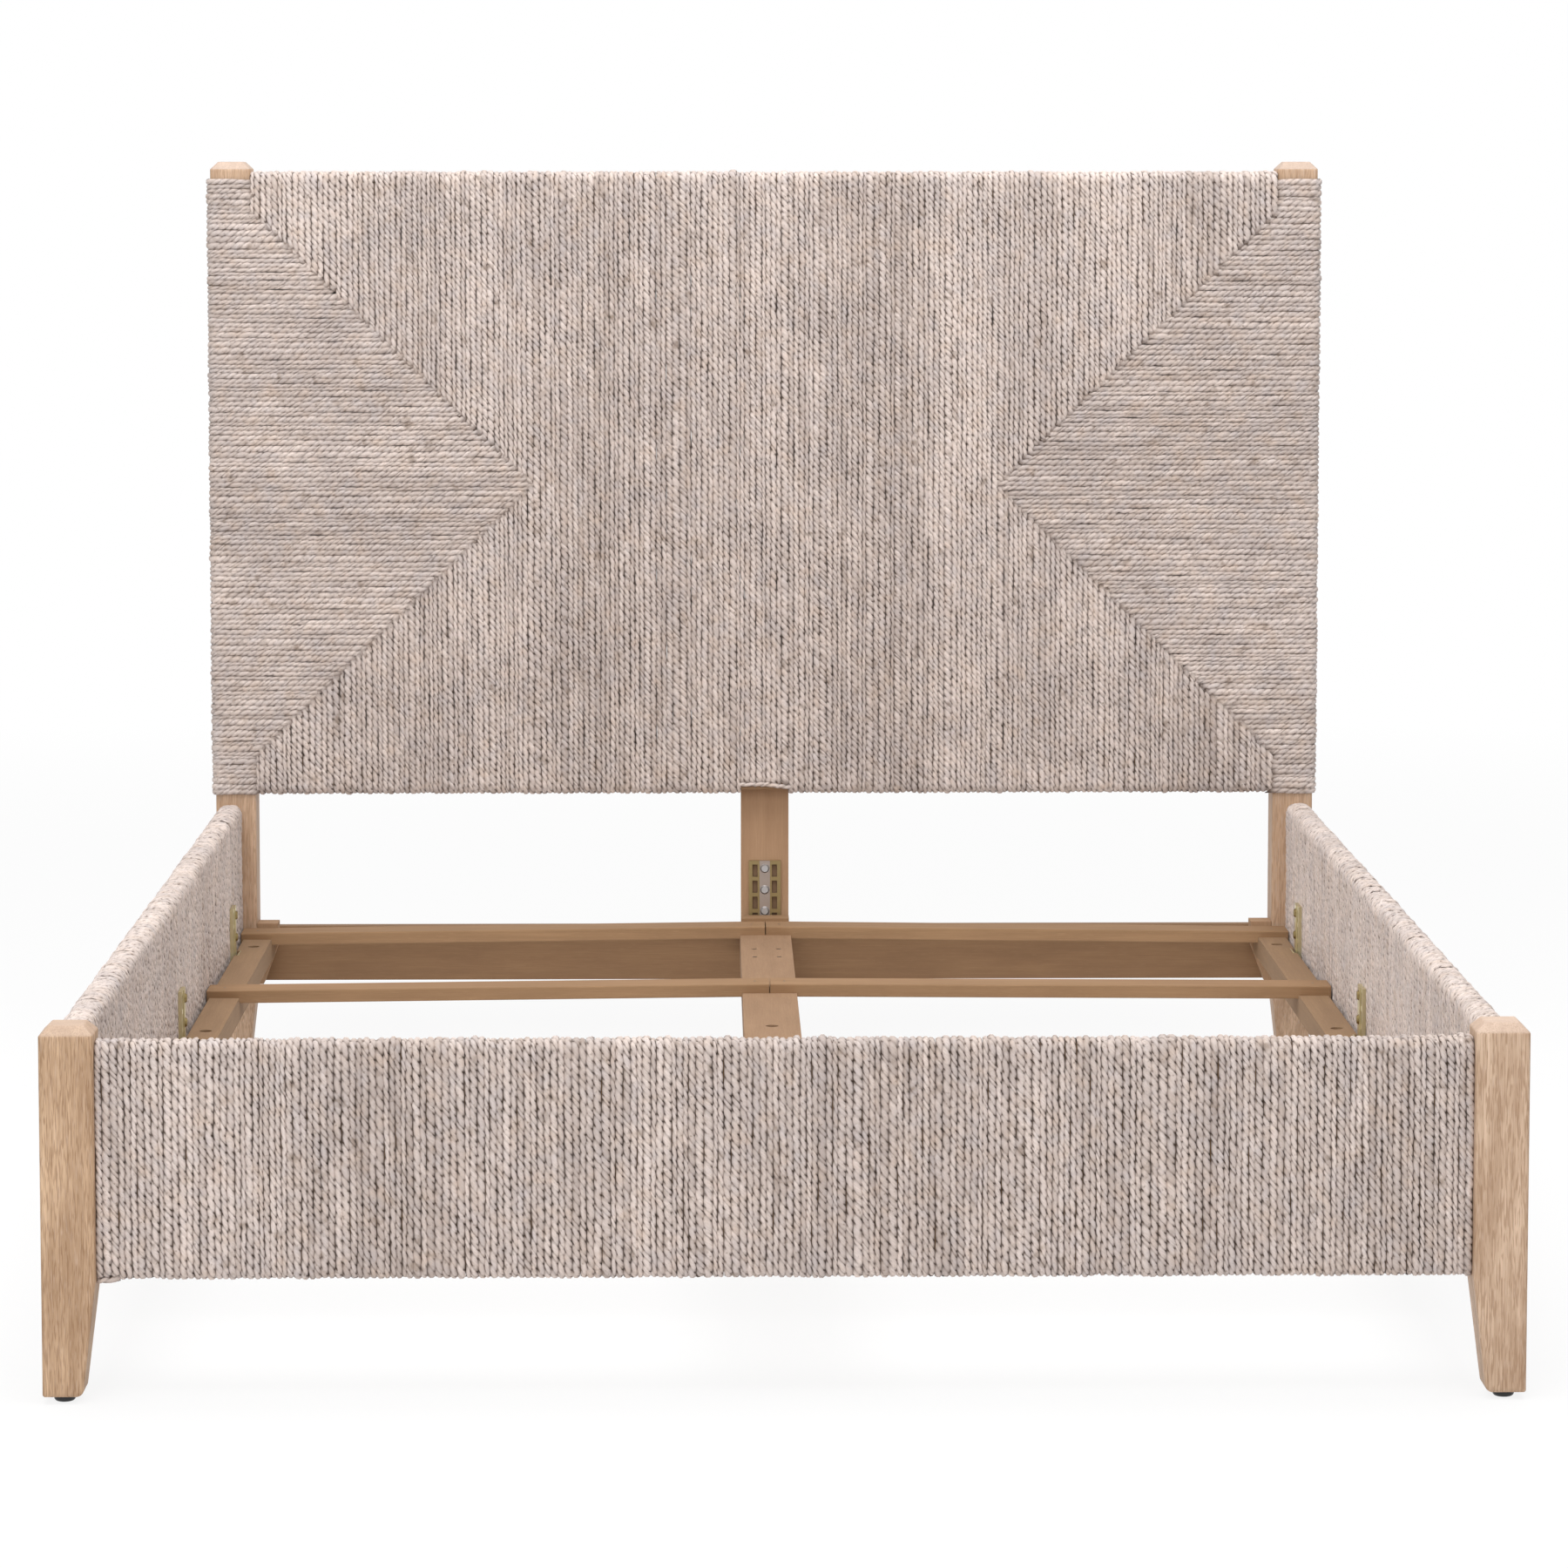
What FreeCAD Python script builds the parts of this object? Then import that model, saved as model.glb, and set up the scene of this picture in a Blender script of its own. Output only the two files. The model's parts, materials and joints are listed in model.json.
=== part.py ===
import FreeCAD, Part
import math
import os
import re

import Sketcher

# A queen bed of pale wood. Its headboard, footboard and side rails are bound in twisted cord, and its slats
# lie on ledgers and a centre rail that hook into steel brackets. Millimetres, +Z up, the foot towards -Y, the
# origin on the floor under the middle of the bed.

SIZES = {
    # Posts
    "post_outer_width": 1650,
    "post_front_spacing": 2110,
    "post_side": 60,
    "post_top_chamfer": 11,
    "post_edge_round": 3,
    "foot_post_top": 424,
    "head_post_top": 1368,
    "leg_bottom": 8,
    "leg_foot_side": 45,
    "leg_foot_round": 9,
    # Cord-bound footboard and side rails
    "cord_thickness": 6.5,
    "panel_thickness": 36,
    "panel_bottom": 136,
    "panel_top": 405,
    "panel_round": 14,
    "footboard_recess": 12,
    "rail_inset": 3,
    # Headboard
    "head_wrap_bottom": 421,
    "head_tip_height": 15,
    "post_wrap_drop": 11,
    "head_rail_height": 60,
    "weave_apex_inset": 484,
    "post_wrap_height": 58,
    "center_leg_width": 72,
    "center_leg_thickness": 19,
    "stretcher_bottom": 133,
    "stretcher_top": 215,
    "stretcher_thickness": 22,
    "corner_block_width": 31,
    "corner_block_top": 225,
    "corner_block_knee": 192,
    "corner_block_foot": 9,
    # Deck
    "slat_width": 56,
    "slat_thickness": 18,
    "slat_top": 228,
    "slat_housing": 5,
    "slat_row_pitch": 541,
    "slat_back_gap": 6,
    "slat_joint_gap": 1.5,
    "slat_end_gap": 2,
    "ledger_width": 42,
    "ledger_height": 32,
    "ledger_gap": 5.6,
    "ledger_end_gap": 0.6,
    "center_rail_width": 76,
    "center_rail_height": 45,
    "end_block_top": 232,
    "deck_bore_diameter": 17,
    "deck_bore_depth": 14,
    "deck_bore_first": 131,
    "deck_bore_pitch": 745,
    "support_leg_side": 50,
    "support_leg_inset": 264,
    "cleat_width": 62,
    "cleat_length": 110,
    "cleat_thickness": 15,
    # Level brackets and the hooks that hang in them
    "bracket_width": 48.5,
    "bracket_depth": 5,
    "bracket_sheet": 2,
    "bracket_rim": 2.5,
    "bracket_margin": 5.8,
    "bracket_first": 194,
    "bracket_pitch": 754,
    "side_bracket_top": 278,
    "center_bracket_top": 314,
    "column_width": 15.4,
    "column_rise": 1.5,
    "window_width": 8,
    "window_height": 18.7,
    "window_pitch": 24.5,
    "bracket_screw_first": 11.5,
    "bracket_screw_pitch": 32.5,
    "hook_width": 44,
    "hook_sheet": 2.5,
    "hook_tongue_width": 6.5,
    "hook_arm_height": 7.7,
    "hook_nose_drop": 3,
    # Screws and dowels
    "screw_diameter": 5,
    "screw_length": 16,
    "screw_head_diameter": 14,
    "screw_head_height": 3,
    "deck_screw_diameter": 4,
    "deck_screw_length": 30,
    "deck_screw_head": 8,
    "deck_screw_sink": 2.5,
    "center_screw_pitch_across": 36,
    "center_screw_pitch_along": 75,
    "center_screw_length": 56,
    "dowel_diameter": 10,
    "dowel_length": 60,
    # Hooked joints of the side rails and posts
    "rail_plate_width": 16,
    "rail_plate_height": 130,
    "rail_plate_sheet": 3,
    "rail_hook_width": 3.5,
    "rail_hook_reach": 7,
    "rail_hook_height": 12,
    "rail_hook_drop": 8,
    "rail_hook_pitch": 62,
    # Levellers
    "glide_diameter": 24,
    "glide_round": 4,
    "stem_diameter": 8,
    "stem_length": 30,
    "insert_diameter": 13,
    "insert_length": 20,
    # Fits
    "clearance": 0.3,
    "overrun": 5,
}

WINDOW_ROWS = 5
BRACKET_SCREWS = 4
SIDE_HOOK_ROW = 3
CENTER_HOOK_ROW = 4
RAIL_BRACKETS = 3
DECK_BORES = 3
RAIL_HOOKS = 2

# Shares of the piece that each of these follows
HEAD_DOWEL_SHARES = (0.3, 0.7)
FOOT_DOWEL_SHARES = (0.2, 0.5, 0.8)
STRETCHER_DOWEL_SHARES = (0.25, 0.75)
SCREW_CROWN_SHARE = 0.7

# Places worked out from the sizes: +X is the right of the bed seen from its foot
PLACES = {
    "half_width": "post_outer_width / 2",
    "bed_length": "post_front_spacing + post_side + cord_thickness",
    "foot_face": "0 - bed_length / 2",
    "foot_back": "foot_face + post_side",
    "head_face": "foot_face + post_front_spacing",
    "head_back": "head_face + post_side",
    "post_inner": "half_width - post_side",
    "panel_front": "foot_face + footboard_recess",
    "panel_back": "panel_front + panel_thickness",
    "core_thickness": "panel_thickness - 2 * cord_thickness",
    "core_bottom": "panel_bottom + cord_thickness",
    "core_top": "panel_top - cord_thickness",
    "core_height": "core_top - core_bottom",
    "core_round": "panel_round - cord_thickness",
    "rail_outer": "half_width - rail_inset",
    "rail_inner": "rail_outer - panel_thickness",
    "rail_middle": "rail_outer - panel_thickness / 2",
    "wrap_outer": "half_width + cord_thickness",
    "wrap_front": "head_face - cord_thickness",
    "wrap_back": "head_back + cord_thickness",
    "head_wrap_top": "head_post_top - head_tip_height",
    "post_wrap_top": "head_wrap_top - post_wrap_drop",
    "wrap_middle": "(head_wrap_bottom + head_wrap_top) / 2",
    "weave_apex": "wrap_outer - weave_apex_inset",
    "weave_low": "head_wrap_bottom + post_wrap_height",
    "weave_high": "head_wrap_top - post_wrap_height",
    "bottom_rail_low": "head_wrap_bottom + cord_thickness",
    "bottom_rail_high": "bottom_rail_low + head_rail_height",
    "top_rail_high": "head_wrap_top - cord_thickness",
    "top_rail_low": "top_rail_high - head_rail_height",
    "center_leg_face": "head_back - center_leg_thickness",
    "center_leg_middle": "head_back - center_leg_thickness / 2",
    "stretcher_face": "head_back - stretcher_thickness",
    "stretcher_height": "stretcher_top - stretcher_bottom",
    "slat_bottom": "slat_top - slat_thickness",
    "deck_top": "slat_bottom + slat_housing",
    "slat_end": "rail_inner - slat_end_gap",
    "last_row": "head_face - foot_back - slat_back_gap - slat_width",
    "third_row": "slat_back_gap + 2 * slat_row_pitch",
    "ledger_outer": "rail_inner - ledger_gap",
    "ledger_inner": "ledger_outer - ledger_width",
    "ledger_middle": "ledger_outer - ledger_width / 2",
    "ledger_bottom": "slat_bottom - ledger_height",
    "center_rail_bottom": "deck_top - center_rail_height",
    "window_room": "(bracket_width - 2 * bracket_rim - column_width) / 2",
    "window_center": "column_width / 2 + window_room / 2",
    "bracket_height": f"2 * bracket_margin + {WINDOW_ROWS - 1} * window_pitch + window_height",
    "bracket_face": "bracket_depth + column_rise",
    "hook_back": "bracket_face + screw_head_height + clearance",
    "hook_front": "hook_back + hook_sheet",
    "center_rail_head": "center_leg_face - hook_front",
    "center_rail_foot": "panel_back + hook_front",
    "rail_plate_low": "(panel_bottom + panel_top - rail_plate_height) / 2",
    "rail_plate_high": "rail_plate_low + rail_plate_height",
    "glide_top": "leg_bottom - clearance",
    "stem_top": "leg_bottom + stem_length",
    "leg_center": "leg_foot_side / 2",
}

SIDES = {"left": -1, "right": 1}

# The way a piece points, and the turn about Z that brings its front, made towards -Y, to face that way
POINTING = {
    "+x": FreeCAD.Rotation(FreeCAD.Vector(0, 1, 0), 90),
    "-x": FreeCAD.Rotation(FreeCAD.Vector(0, 1, 0), -90),
    "+y": FreeCAD.Rotation(FreeCAD.Vector(1, 0, 0), -90),
    "-y": FreeCAD.Rotation(FreeCAD.Vector(1, 0, 0), 90),
    "+z": FreeCAD.Rotation(),
    "-z": FreeCAD.Rotation(FreeCAD.Vector(1, 0, 0), 180),
}
FACING_TURN = {"-y": 0, "+x": 90, "+y": 180, "-x": 270}
OPPOSITE = {"-y": "+y", "+y": "-y", "-x": "+x", "+x": "-x"}

doc = FreeCAD.newDocument("bed")
sheet = doc.addObject("Spreadsheet::Sheet", "Sizes")
for row, (word, value) in enumerate(SIZES.items(), start=1):
    sheet.set(f"A{row}", word)
    sheet.set(f"B{row}", str(value))
    sheet.setAlias(f"B{row}", word)
doc.recompute()

pieces = {}


def formula(words):
    """The sheet's formula for a text of size and place words."""

    def swap(match):
        word = match.group()
        if word in PLACES:
            return f"({formula(PLACES[word])})"
        return f"Sizes.{word}"

    return re.sub(r"[a-z][a-z_]+", swap, words)


def number(words):
    """What a text of size and place words comes to."""
    return float(sheet.evalExpression(formula(words)))


def keep(name, piece):
    """Hand in a finished piece under its name."""
    piece.Label = name
    pieces[name] = piece
    return piece


def mirrored(direction, near, far, origin="0"):
    """The low and high of a span from near to far of an origin, on the side that the direction gives."""
    if direction > 0:
        return f"{origin} + {near}", f"{origin} + {far}"
    return f"{origin} - ({far})", f"{origin} - ({near})"


def centred(width, origin="0"):
    """The low and high of a span with the origin at its middle."""
    return f"{origin} - ({width}) / 2", f"{origin} + ({width}) / 2"


def stand(piece, place):
    """Bind where a piece stands."""
    for axis, words in zip("xyz", place):
        piece.setExpression(f"Placement.Base.{axis}", formula(words))


def slab(name, across, along, up):
    """A square-edged piece between a low and a high across (X), along (Y) and up (Z)."""
    piece = doc.addObject("Part::Box", name)
    for side, (low, high) in zip(("Length", "Width", "Height"), (across, along, up)):
        piece.setExpression(side, formula(f"({high}) - ({low})"))
    stand(piece, (across[0], along[0], up[0]))
    return piece


def rod(name, diameter, length, start, pointing):
    """A round rod from its start, the way it points."""
    piece = doc.addObject("Part::Cylinder", name)
    piece.Placement = FreeCAD.Placement(FreeCAD.Vector(), POINTING[pointing])
    piece.setExpression("Radius", formula(f"({diameter}) / 2"))
    piece.setExpression("Height", formula(length))
    stand(piece, start)
    return piece


def taper(name, near, far, length, start, pointing):
    """A round taper from its near diameter to its far one."""
    piece = doc.addObject("Part::Cone", name)
    piece.Placement = FreeCAD.Placement(FreeCAD.Vector(), POINTING[pointing])
    piece.setExpression("Radius1", formula(f"({near}) / 2"))
    piece.setExpression("Radius2", formula(f"({far}) / 2"))
    piece.setExpression("Height", formula(length))
    stand(piece, start)
    return piece


def fused(name, parts):
    """Several shapes made into one solid."""
    piece = doc.addObject("Part::MultiFuse", name)
    piece.Shapes = parts
    return piece


def group(name, parts):
    """Several separate solids under one name."""
    piece = doc.addObject("Part::Compound", name)
    piece.Links = parts
    return piece


def cut(name, blank, tools):
    """A blank with the tools' shapes taken out of it."""
    piece = doc.addObject("Part::Cut", name)
    piece.Base = blank
    piece.Tool = tools[0] if len(tools) == 1 else fused(f"{name}_cuts", tools)
    return piece


def new_body(name, place, turn=0):
    """An empty body, turned about Z and stood at its place."""
    body = doc.addObject("PartDesign::Body", name)
    body.Placement = FreeCAD.Placement(FreeCAD.Vector(), FreeCAD.Rotation(FreeCAD.Vector(0, 0, 1), turn))
    stand(body, place)
    return body


def origin_feature(body, role):
    """One of a body's own planes or axes."""
    return next(feature for feature in body.Origin.OriginFeatures if feature.Role == role)


def sketch_on(body, role, name, lift="0"):
    """A sketch on one of a body's own planes, lifted along the plane's normal."""
    sketch = body.newObject("Sketcher::SketchObject", f"{body.Name}_{name}")
    sketch.AttachmentSupport = (origin_feature(body, role), [""])
    sketch.MapMode = "FlatFace"
    sketch.setExpression("AttachmentOffset.Base.z", formula(lift))
    return sketch


def fix_point(sketch, geometry, across, up):
    """Bind the start of a line to a place in the sketch."""
    for kind, words in (("DistanceX", across), ("DistanceY", up)):
        held = sketch.addConstraint(Sketcher.Constraint(kind, -1, 1, geometry, 1, number(words)))
        sketch.setExpression(f"Constraints[{held}]", formula(words))


def outline(sketch, corners):
    """A closed outline of straight lines through corners given in words."""
    places = [FreeCAD.Vector(number(across), number(up), 0) for across, up in corners]
    first = sketch.GeometryCount
    count = len(places)
    for i in range(count):
        sketch.addGeometry(Part.LineSegment(places[i], places[(i + 1) % count]), False)
    for i in range(count):
        sketch.addConstraint(Sketcher.Constraint("Coincident", first + i, 2, first + (i + 1) % count, 1))
    for i, (across, up) in enumerate(corners):
        fix_point(sketch, first + i, across, up)


def rectangle(sketch, across, up):
    """A square-cornered outline between a low and a high each way."""
    outline(sketch, [(across[0], up[0]), (across[1], up[0]), (across[1], up[1]), (across[0], up[1])])


def rounded_rectangle(sketch, width, height, radius):
    """An outline with round corners, its low corner at the sketch's origin."""
    wide = number(width)
    tall = number(height)
    turn = number(radius)
    spots = [(wide - turn, turn), (wide - turn, tall - turn), (turn, tall - turn), (turn, turn)]
    runs = [
        ((turn, 0), (wide - turn, 0)),
        ((wide, turn), (wide, tall - turn)),
        ((wide - turn, tall), (turn, tall)),
        ((0, tall - turn), (0, turn)),
    ]
    for side, ((start, end), spot) in enumerate(zip(runs, spots)):
        line = Part.LineSegment(FreeCAD.Vector(*start, 0), FreeCAD.Vector(*end, 0))
        sketch.addGeometry(line, False)
        circle = Part.Circle(FreeCAD.Vector(*spot, 0), FreeCAD.Vector(0, 0, 1), turn)
        begin = (side - 1) * math.pi / 2
        sketch.addGeometry(Part.ArcOfCircle(circle, begin, begin + math.pi / 2), False)
    for i in range(8):
        sketch.addConstraint(Sketcher.Constraint("Tangent", i, 2, (i + 1) % 8, 1))
    for flat in (0, 4):
        sketch.addConstraint(Sketcher.Constraint("Horizontal", flat))
    for upright in (2, 6):
        sketch.addConstraint(Sketcher.Constraint("Vertical", upright))
    for arc in (3, 5, 7):
        sketch.addConstraint(Sketcher.Constraint("Equal", 1, arc))
    sketch.addConstraint(Sketcher.Constraint("PointOnObject", 0, 1, -1))
    sketch.addConstraint(Sketcher.Constraint("PointOnObject", 6, 1, -2))
    sizes = (
        (Sketcher.Constraint("Radius", 1, turn), radius),
        (Sketcher.Constraint("DistanceX", 6, 1, 2, 1, wide), width),
        (Sketcher.Constraint("DistanceY", 0, 1, 4, 1, tall), height),
    )
    for constraint, words in sizes:
        held = sketch.addConstraint(constraint)
        sketch.setExpression(f"Constraints[{held}]", formula(words))


def circle_outline(sketch, diameter, up="0"):
    """A round outline on the sketch's upright axis."""
    spot = FreeCAD.Vector(0, number(up), 0)
    round_line = sketch.addGeometry(Part.Circle(spot, FreeCAD.Vector(0, 0, 1), number(diameter) / 2), False)
    sketch.addConstraint(Sketcher.Constraint("PointOnObject", round_line, 3, -2))
    sizes = (
        (Sketcher.Constraint("Diameter", round_line, number(diameter)), diameter),
        (Sketcher.Constraint("DistanceY", -1, 1, round_line, 3, number(up)), up),
    )
    for constraint, words in sizes:
        held = sketch.addConstraint(constraint)
        sketch.setExpression(f"Constraints[{held}]", formula(words))


def pad(body, sketch, length, back=False, both=False):
    """Thicken a sketch along its normal, back against it, or half each way."""
    feature = body.newObject("PartDesign::Pad", f"{sketch.Name}_pad")
    feature.Profile = sketch
    feature.setExpression("Length", formula(length))
    feature.Reversed = back
    feature.Midplane = both
    return feature


def pocket(body, sketch, depth):
    """Take a sketch's shape out of a body, and see that it did take something."""
    doc.recompute()
    before = body.Shape.Volume
    feature = body.newObject("PartDesign::Pocket", f"{sketch.Name}_pocket")
    feature.Profile = sketch
    feature.setExpression("Length", formula(depth))
    feature.Reversed = True
    doc.recompute()
    if body.Shape.Volume >= before:
        raise RuntimeError(f"{feature.Name} takes nothing away")
    return feature


def row_of(body, feature, pitch, count):
    """Repeat a pocket downwards."""
    pattern = body.newObject("PartDesign::LinearPattern", f"{feature.Name}_row")
    pattern.Originals = [feature]
    pattern.Direction = (origin_feature(body, "Z_Axis"), [""])
    pattern.Reversed = True
    pattern.setExpression("Length", formula(f"{count - 1} * ({pitch})"))
    pattern.Occurrences = count
    body.Tip = pattern
    return pattern


def edges_where(feature, test):
    """The names of the edges whose boxes pass a test."""
    doc.recompute()
    return [f"Edge{i}" for i, edge in enumerate(feature.Shape.Edges, start=1) if test(edge.BoundBox)]


def close(one, other):
    """Whether two lengths are the same for a test of edges."""
    return abs(one - other) < number("clearance")


# Posts: a square shaft with a chamfered tip, on a leg that narrows on its two inner sides


def post_blank(name, place, turn, top):
    """A post before its joints are cut, made with its outer corner at the body's origin."""
    body = new_body(f"{name}_blank", place, turn)
    foot = sketch_on(body, "XY_Plane", "foot", "leg_bottom")
    rectangle(foot, ("0", "leg_foot_side"), ("0", "leg_foot_side"))
    knee = sketch_on(body, "XY_Plane", "knee", "panel_bottom")
    rectangle(knee, ("0", "post_side"), ("0", "post_side"))
    doc.recompute()
    leg = body.newObject("PartDesign::AdditiveLoft", f"{name}_leg")
    leg.Profile = foot
    leg.Sections = [knee]
    leg.Ruled = True
    doc.recompute()
    shaft_end = sketch_on(body, "XY_Plane", "shaft", "panel_bottom")
    rectangle(shaft_end, ("0", "post_side"), ("0", "post_side"))
    shaft = pad(body, shaft_end, f"{top} - panel_bottom")
    doc.recompute()
    bottom = number("leg_bottom")
    outer = number("leg_foot_side")
    soles = edges_where(
        shaft,
        lambda box: close(box.ZMax, bottom) and (close(box.XMin, outer) or close(box.YMin, outer)),
    )
    sole = body.newObject("PartDesign::Fillet", f"{name}_sole")
    sole.Base = (shaft, soles)
    sole.setExpression("Radius", formula("leg_foot_round"))
    height = number(top)
    tip = body.newObject("PartDesign::Chamfer", f"{name}_tip")
    tip.Base = (sole, edges_where(sole, lambda box: close(box.ZMin, height)))
    tip.setExpression("Size", formula("post_top_chamfer"))
    shoulder = number(f"{top} - post_top_chamfer - clearance")
    uprights = edges_where(tip, lambda box: box.ZLength > number("post_side") * 2 or box.ZMin > shoulder)
    edge = body.newObject("PartDesign::Fillet", f"{name}_edge")
    edge.Base = (tip, uprights)
    edge.setExpression("Radius", formula("post_edge_round"))
    return body


POSTS = {
    "foot_post_left": ("left", "foot", 0, "foot_post_top"),
    "foot_post_right": ("right", "foot", 90, "foot_post_top"),
    "head_post_right": ("right", "head", 180, "head_post_top"),
    "head_post_left": ("left", "head", 270, "head_post_top"),
}
END_FACES = {"foot": ("foot_face", "foot_back", -1), "head": ("head_back", "head_face", 1)}


# Levellers and their threaded inserts, one under each leg


def leveller(name, across, along):
    """A round foot with a domed edge on a threaded stem, and the insert that takes the stem."""
    body = new_body(name, (across, along, "0"))
    sole = sketch_on(body, "XY_Plane", "sole")
    circle_outline(sole, "glide_diameter")
    glide = pad(body, sole, "glide_top")
    rims = edges_where(glide, lambda box: close(box.ZMax, 0))
    dome = body.newObject("PartDesign::Fillet", f"{name}_dome")
    dome.Base = (glide, rims)
    dome.setExpression("Radius", formula("glide_round"))
    root = sketch_on(body, "XY_Plane", "root", "glide_top")
    circle_outline(root, "stem_diameter")
    pad(body, root, "stem_top - glide_top")
    keep(name, body)
    bore = rod(f"{name}_bore", "stem_diameter + 2 * clearance", "stem_length + overrun",
               (across, along, "leg_bottom"), "+z")
    sleeve = rod(f"{name}_sleeve", "insert_diameter", "insert_length", (across, along, "leg_bottom"), "+z")
    insert = cut(f"{name}_insert", sleeve, [bore])
    return insert, [bore, sleeve]


inserts = []
leg_bores = {}
for name, (side, end, *_) in POSTS.items():
    outer_face, _, into_post = END_FACES[end]
    across = f"{SIDES[side]} * (half_width - leg_center)"
    along = f"{outer_face} - {into_post} * leg_center"
    insert, leg_bores[name] = leveller(f"leveller_{end}_{side}", across, along)
    inserts.append(insert)

# Dowels: across the post's inner faces into the headboard rails, the stretchers and the footboard core


def dowels(name, side, along, heights):
    """Dowels half in a post and half in the piece beside it."""
    start = mirrored(SIDES[side], "post_inner - dowel_length / 2", "post_inner + dowel_length / 2")[0]
    return [
        rod(f"{name}_{i}", "dowel_diameter", "dowel_length", (start, along, height), "+x")
        for i, height in enumerate(heights)
    ]


head_pegs = {side: [] for side in SIDES}
foot_pegs = {side: [] for side in SIDES}
for side in SIDES:
    for rail in ("top", "bottom"):
        middle = f"({rail}_rail_low + {rail}_rail_high) / 2"
        for share in HEAD_DOWEL_SHARES:
            along = f"head_face + {share} * post_side"
            head_pegs[side] += dowels(f"peg_{rail}_{side}_{int(100 * share)}", side, along, [middle])
    rises = [f"stretcher_bottom + {share} * stretcher_height" for share in STRETCHER_DOWEL_SHARES]
    head_pegs[side] += dowels(f"peg_stretcher_{side}", side, "head_back - stretcher_thickness / 2", rises)
    rises = [f"core_bottom + {share} * core_height" for share in FOOT_DOWEL_SHARES]
    foot_pegs[side] += dowels(f"peg_foot_{side}", side, "(panel_front + panel_back) / 2", rises)
leg_pegs = []
for side, way in SIDES.items():
    spot = (f"{way} * center_leg_width / 4", "center_leg_middle", "bottom_rail_low - dowel_length / 2")
    leg_pegs.append(rod(f"peg_center_{side}", "dowel_diameter", "dowel_length", spot, "+z"))
all_head_pegs = head_pegs["left"] + head_pegs["right"] + leg_pegs
headboard_dowels = keep("headboard_dowels", group("headboard_dowels", all_head_pegs))
footboard_dowels = keep("footboard_dowels", group("footboard_dowels", foot_pegs["left"] + foot_pegs["right"]))

# Hooked joints: a plate with hooks in each rail end drops into a slotted plate in the post


def hooked_joint(side, end):
    """The hook plate, the slot plate and the room that the hooks need in the post."""
    mating = END_FACES[end][1]
    into_post = END_FACES[end][2]
    label = f"{end}_{side}"
    middle = f"{SIDES[side]} * rail_middle"
    plate_up = ("rail_plate_low", "rail_plate_high")
    plate_across = centred("rail_plate_width", middle)
    hook_across = centred("rail_hook_width", middle)
    slot_across = centred("rail_hook_width + 2 * clearance", middle)
    in_rail = mirrored(-into_post, "0", "rail_plate_sheet", mating)
    in_post = mirrored(into_post, "0", "rail_plate_sheet", mating)
    throat = mirrored(into_post, "0", "rail_plate_sheet + rail_hook_reach", mating)
    behind = mirrored(into_post, "rail_plate_sheet + clearance", "rail_plate_sheet + rail_hook_reach", mating)
    room = mirrored(into_post, "0", "rail_plate_sheet + rail_hook_reach + clearance", mating)
    hooks = [slab(f"rail_plate_{label}", plate_across, in_rail, plate_up)]
    slots = []
    rooms = [slab(f"slot_seat_{label}", plate_across, in_post, plate_up)]
    for i in range(RAIL_HOOKS):
        low = f"rail_plate_low + {i + 0.5} * rail_hook_pitch"
        arm = (low, f"{low} + rail_hook_height")
        nose = (f"{low} - rail_hook_drop", f"{low} + rail_hook_height")
        lift = (f"{low} - clearance", f"{low} + rail_hook_height + rail_hook_drop + clearance")
        hooks.append(slab(f"rail_arm_{label}_{i}", hook_across, throat, arm))
        hooks.append(slab(f"rail_nose_{label}_{i}", hook_across, behind, nose))
        slots.append(slab(f"rail_slot_{label}_{i}", slot_across, in_post, lift))
        rooms.append(slab(f"hook_room_{label}_{i}", slot_across, room, (f"{nose[0]} - clearance", lift[1])))
    hook_plate = fused(f"rail_hook_{label}", hooks)
    slot_blank = slab(f"slot_plate_{label}", plate_across, in_post, plate_up)
    return hook_plate, cut(f"post_slot_{label}", slot_blank, slots), rooms


rail_hooks = {}
post_slots = {}
post_rooms = {}
for side in SIDES:
    for end in END_FACES:
        rail_hooks[end, side], post_slots[end, side], post_rooms[end, side] = hooked_joint(side, end)
keep("rail_hook_plates", group("rail_hook_plates", list(rail_hooks.values())))
keep("post_slot_plates", group("post_slot_plates", list(post_slots.values())))

for name, (side, end, turn, top) in POSTS.items():
    blank = post_blank(name, (f"{SIDES[side]} * half_width", END_FACES[end][0], "0"), turn, top)
    pegs = head_pegs[side] if end == "head" else foot_pegs[side]
    keep(name, cut(name, blank, leg_bores[name] + pegs + post_rooms[end, side]))

# Level brackets: steel with two columns of windows beside a raised column that takes the screws


def bracket(name, facing, wall, top):
    """One bracket with its back on a wall and its windows open towards the bed's middle."""
    body = new_body(name, (*wall, top), FACING_TURN[facing])
    full = ("0 - bracket_height", "0")
    plate = sketch_on(body, "XZ_Plane", "plate")
    rectangle(plate, centred("bracket_width"), full)
    pad(body, plate, "bracket_depth")
    column = sketch_on(body, "XZ_Plane", "column")
    rectangle(column, centred("column_width"), full)
    pad(body, column, "bracket_face")
    rooms = sketch_on(body, "XZ_Plane", "rooms")
    windows = sketch_on(body, "XZ_Plane", "windows")
    room_up = ("bracket_rim - bracket_height", "0 - bracket_rim")
    window_up = ("0 - bracket_margin - window_height", "0 - bracket_margin")
    for way in SIDES.values():
        middle = f"{way} * window_center"
        rectangle(rooms, centred("window_room", middle), room_up)
        rectangle(windows, centred("window_width", middle), window_up)
    pocket(body, rooms, "bracket_depth - bracket_sheet")
    row_of(body, pocket(body, windows, "bracket_depth + overrun"), "window_pitch", WINDOW_ROWS)
    holes = sketch_on(body, "XZ_Plane", "holes")
    circle_outline(holes, "screw_diameter", "0 - bracket_screw_first")
    row_of(body, pocket(body, holes, "bracket_face + overrun"), "bracket_screw_pitch", BRACKET_SCREWS)
    return body


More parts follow.
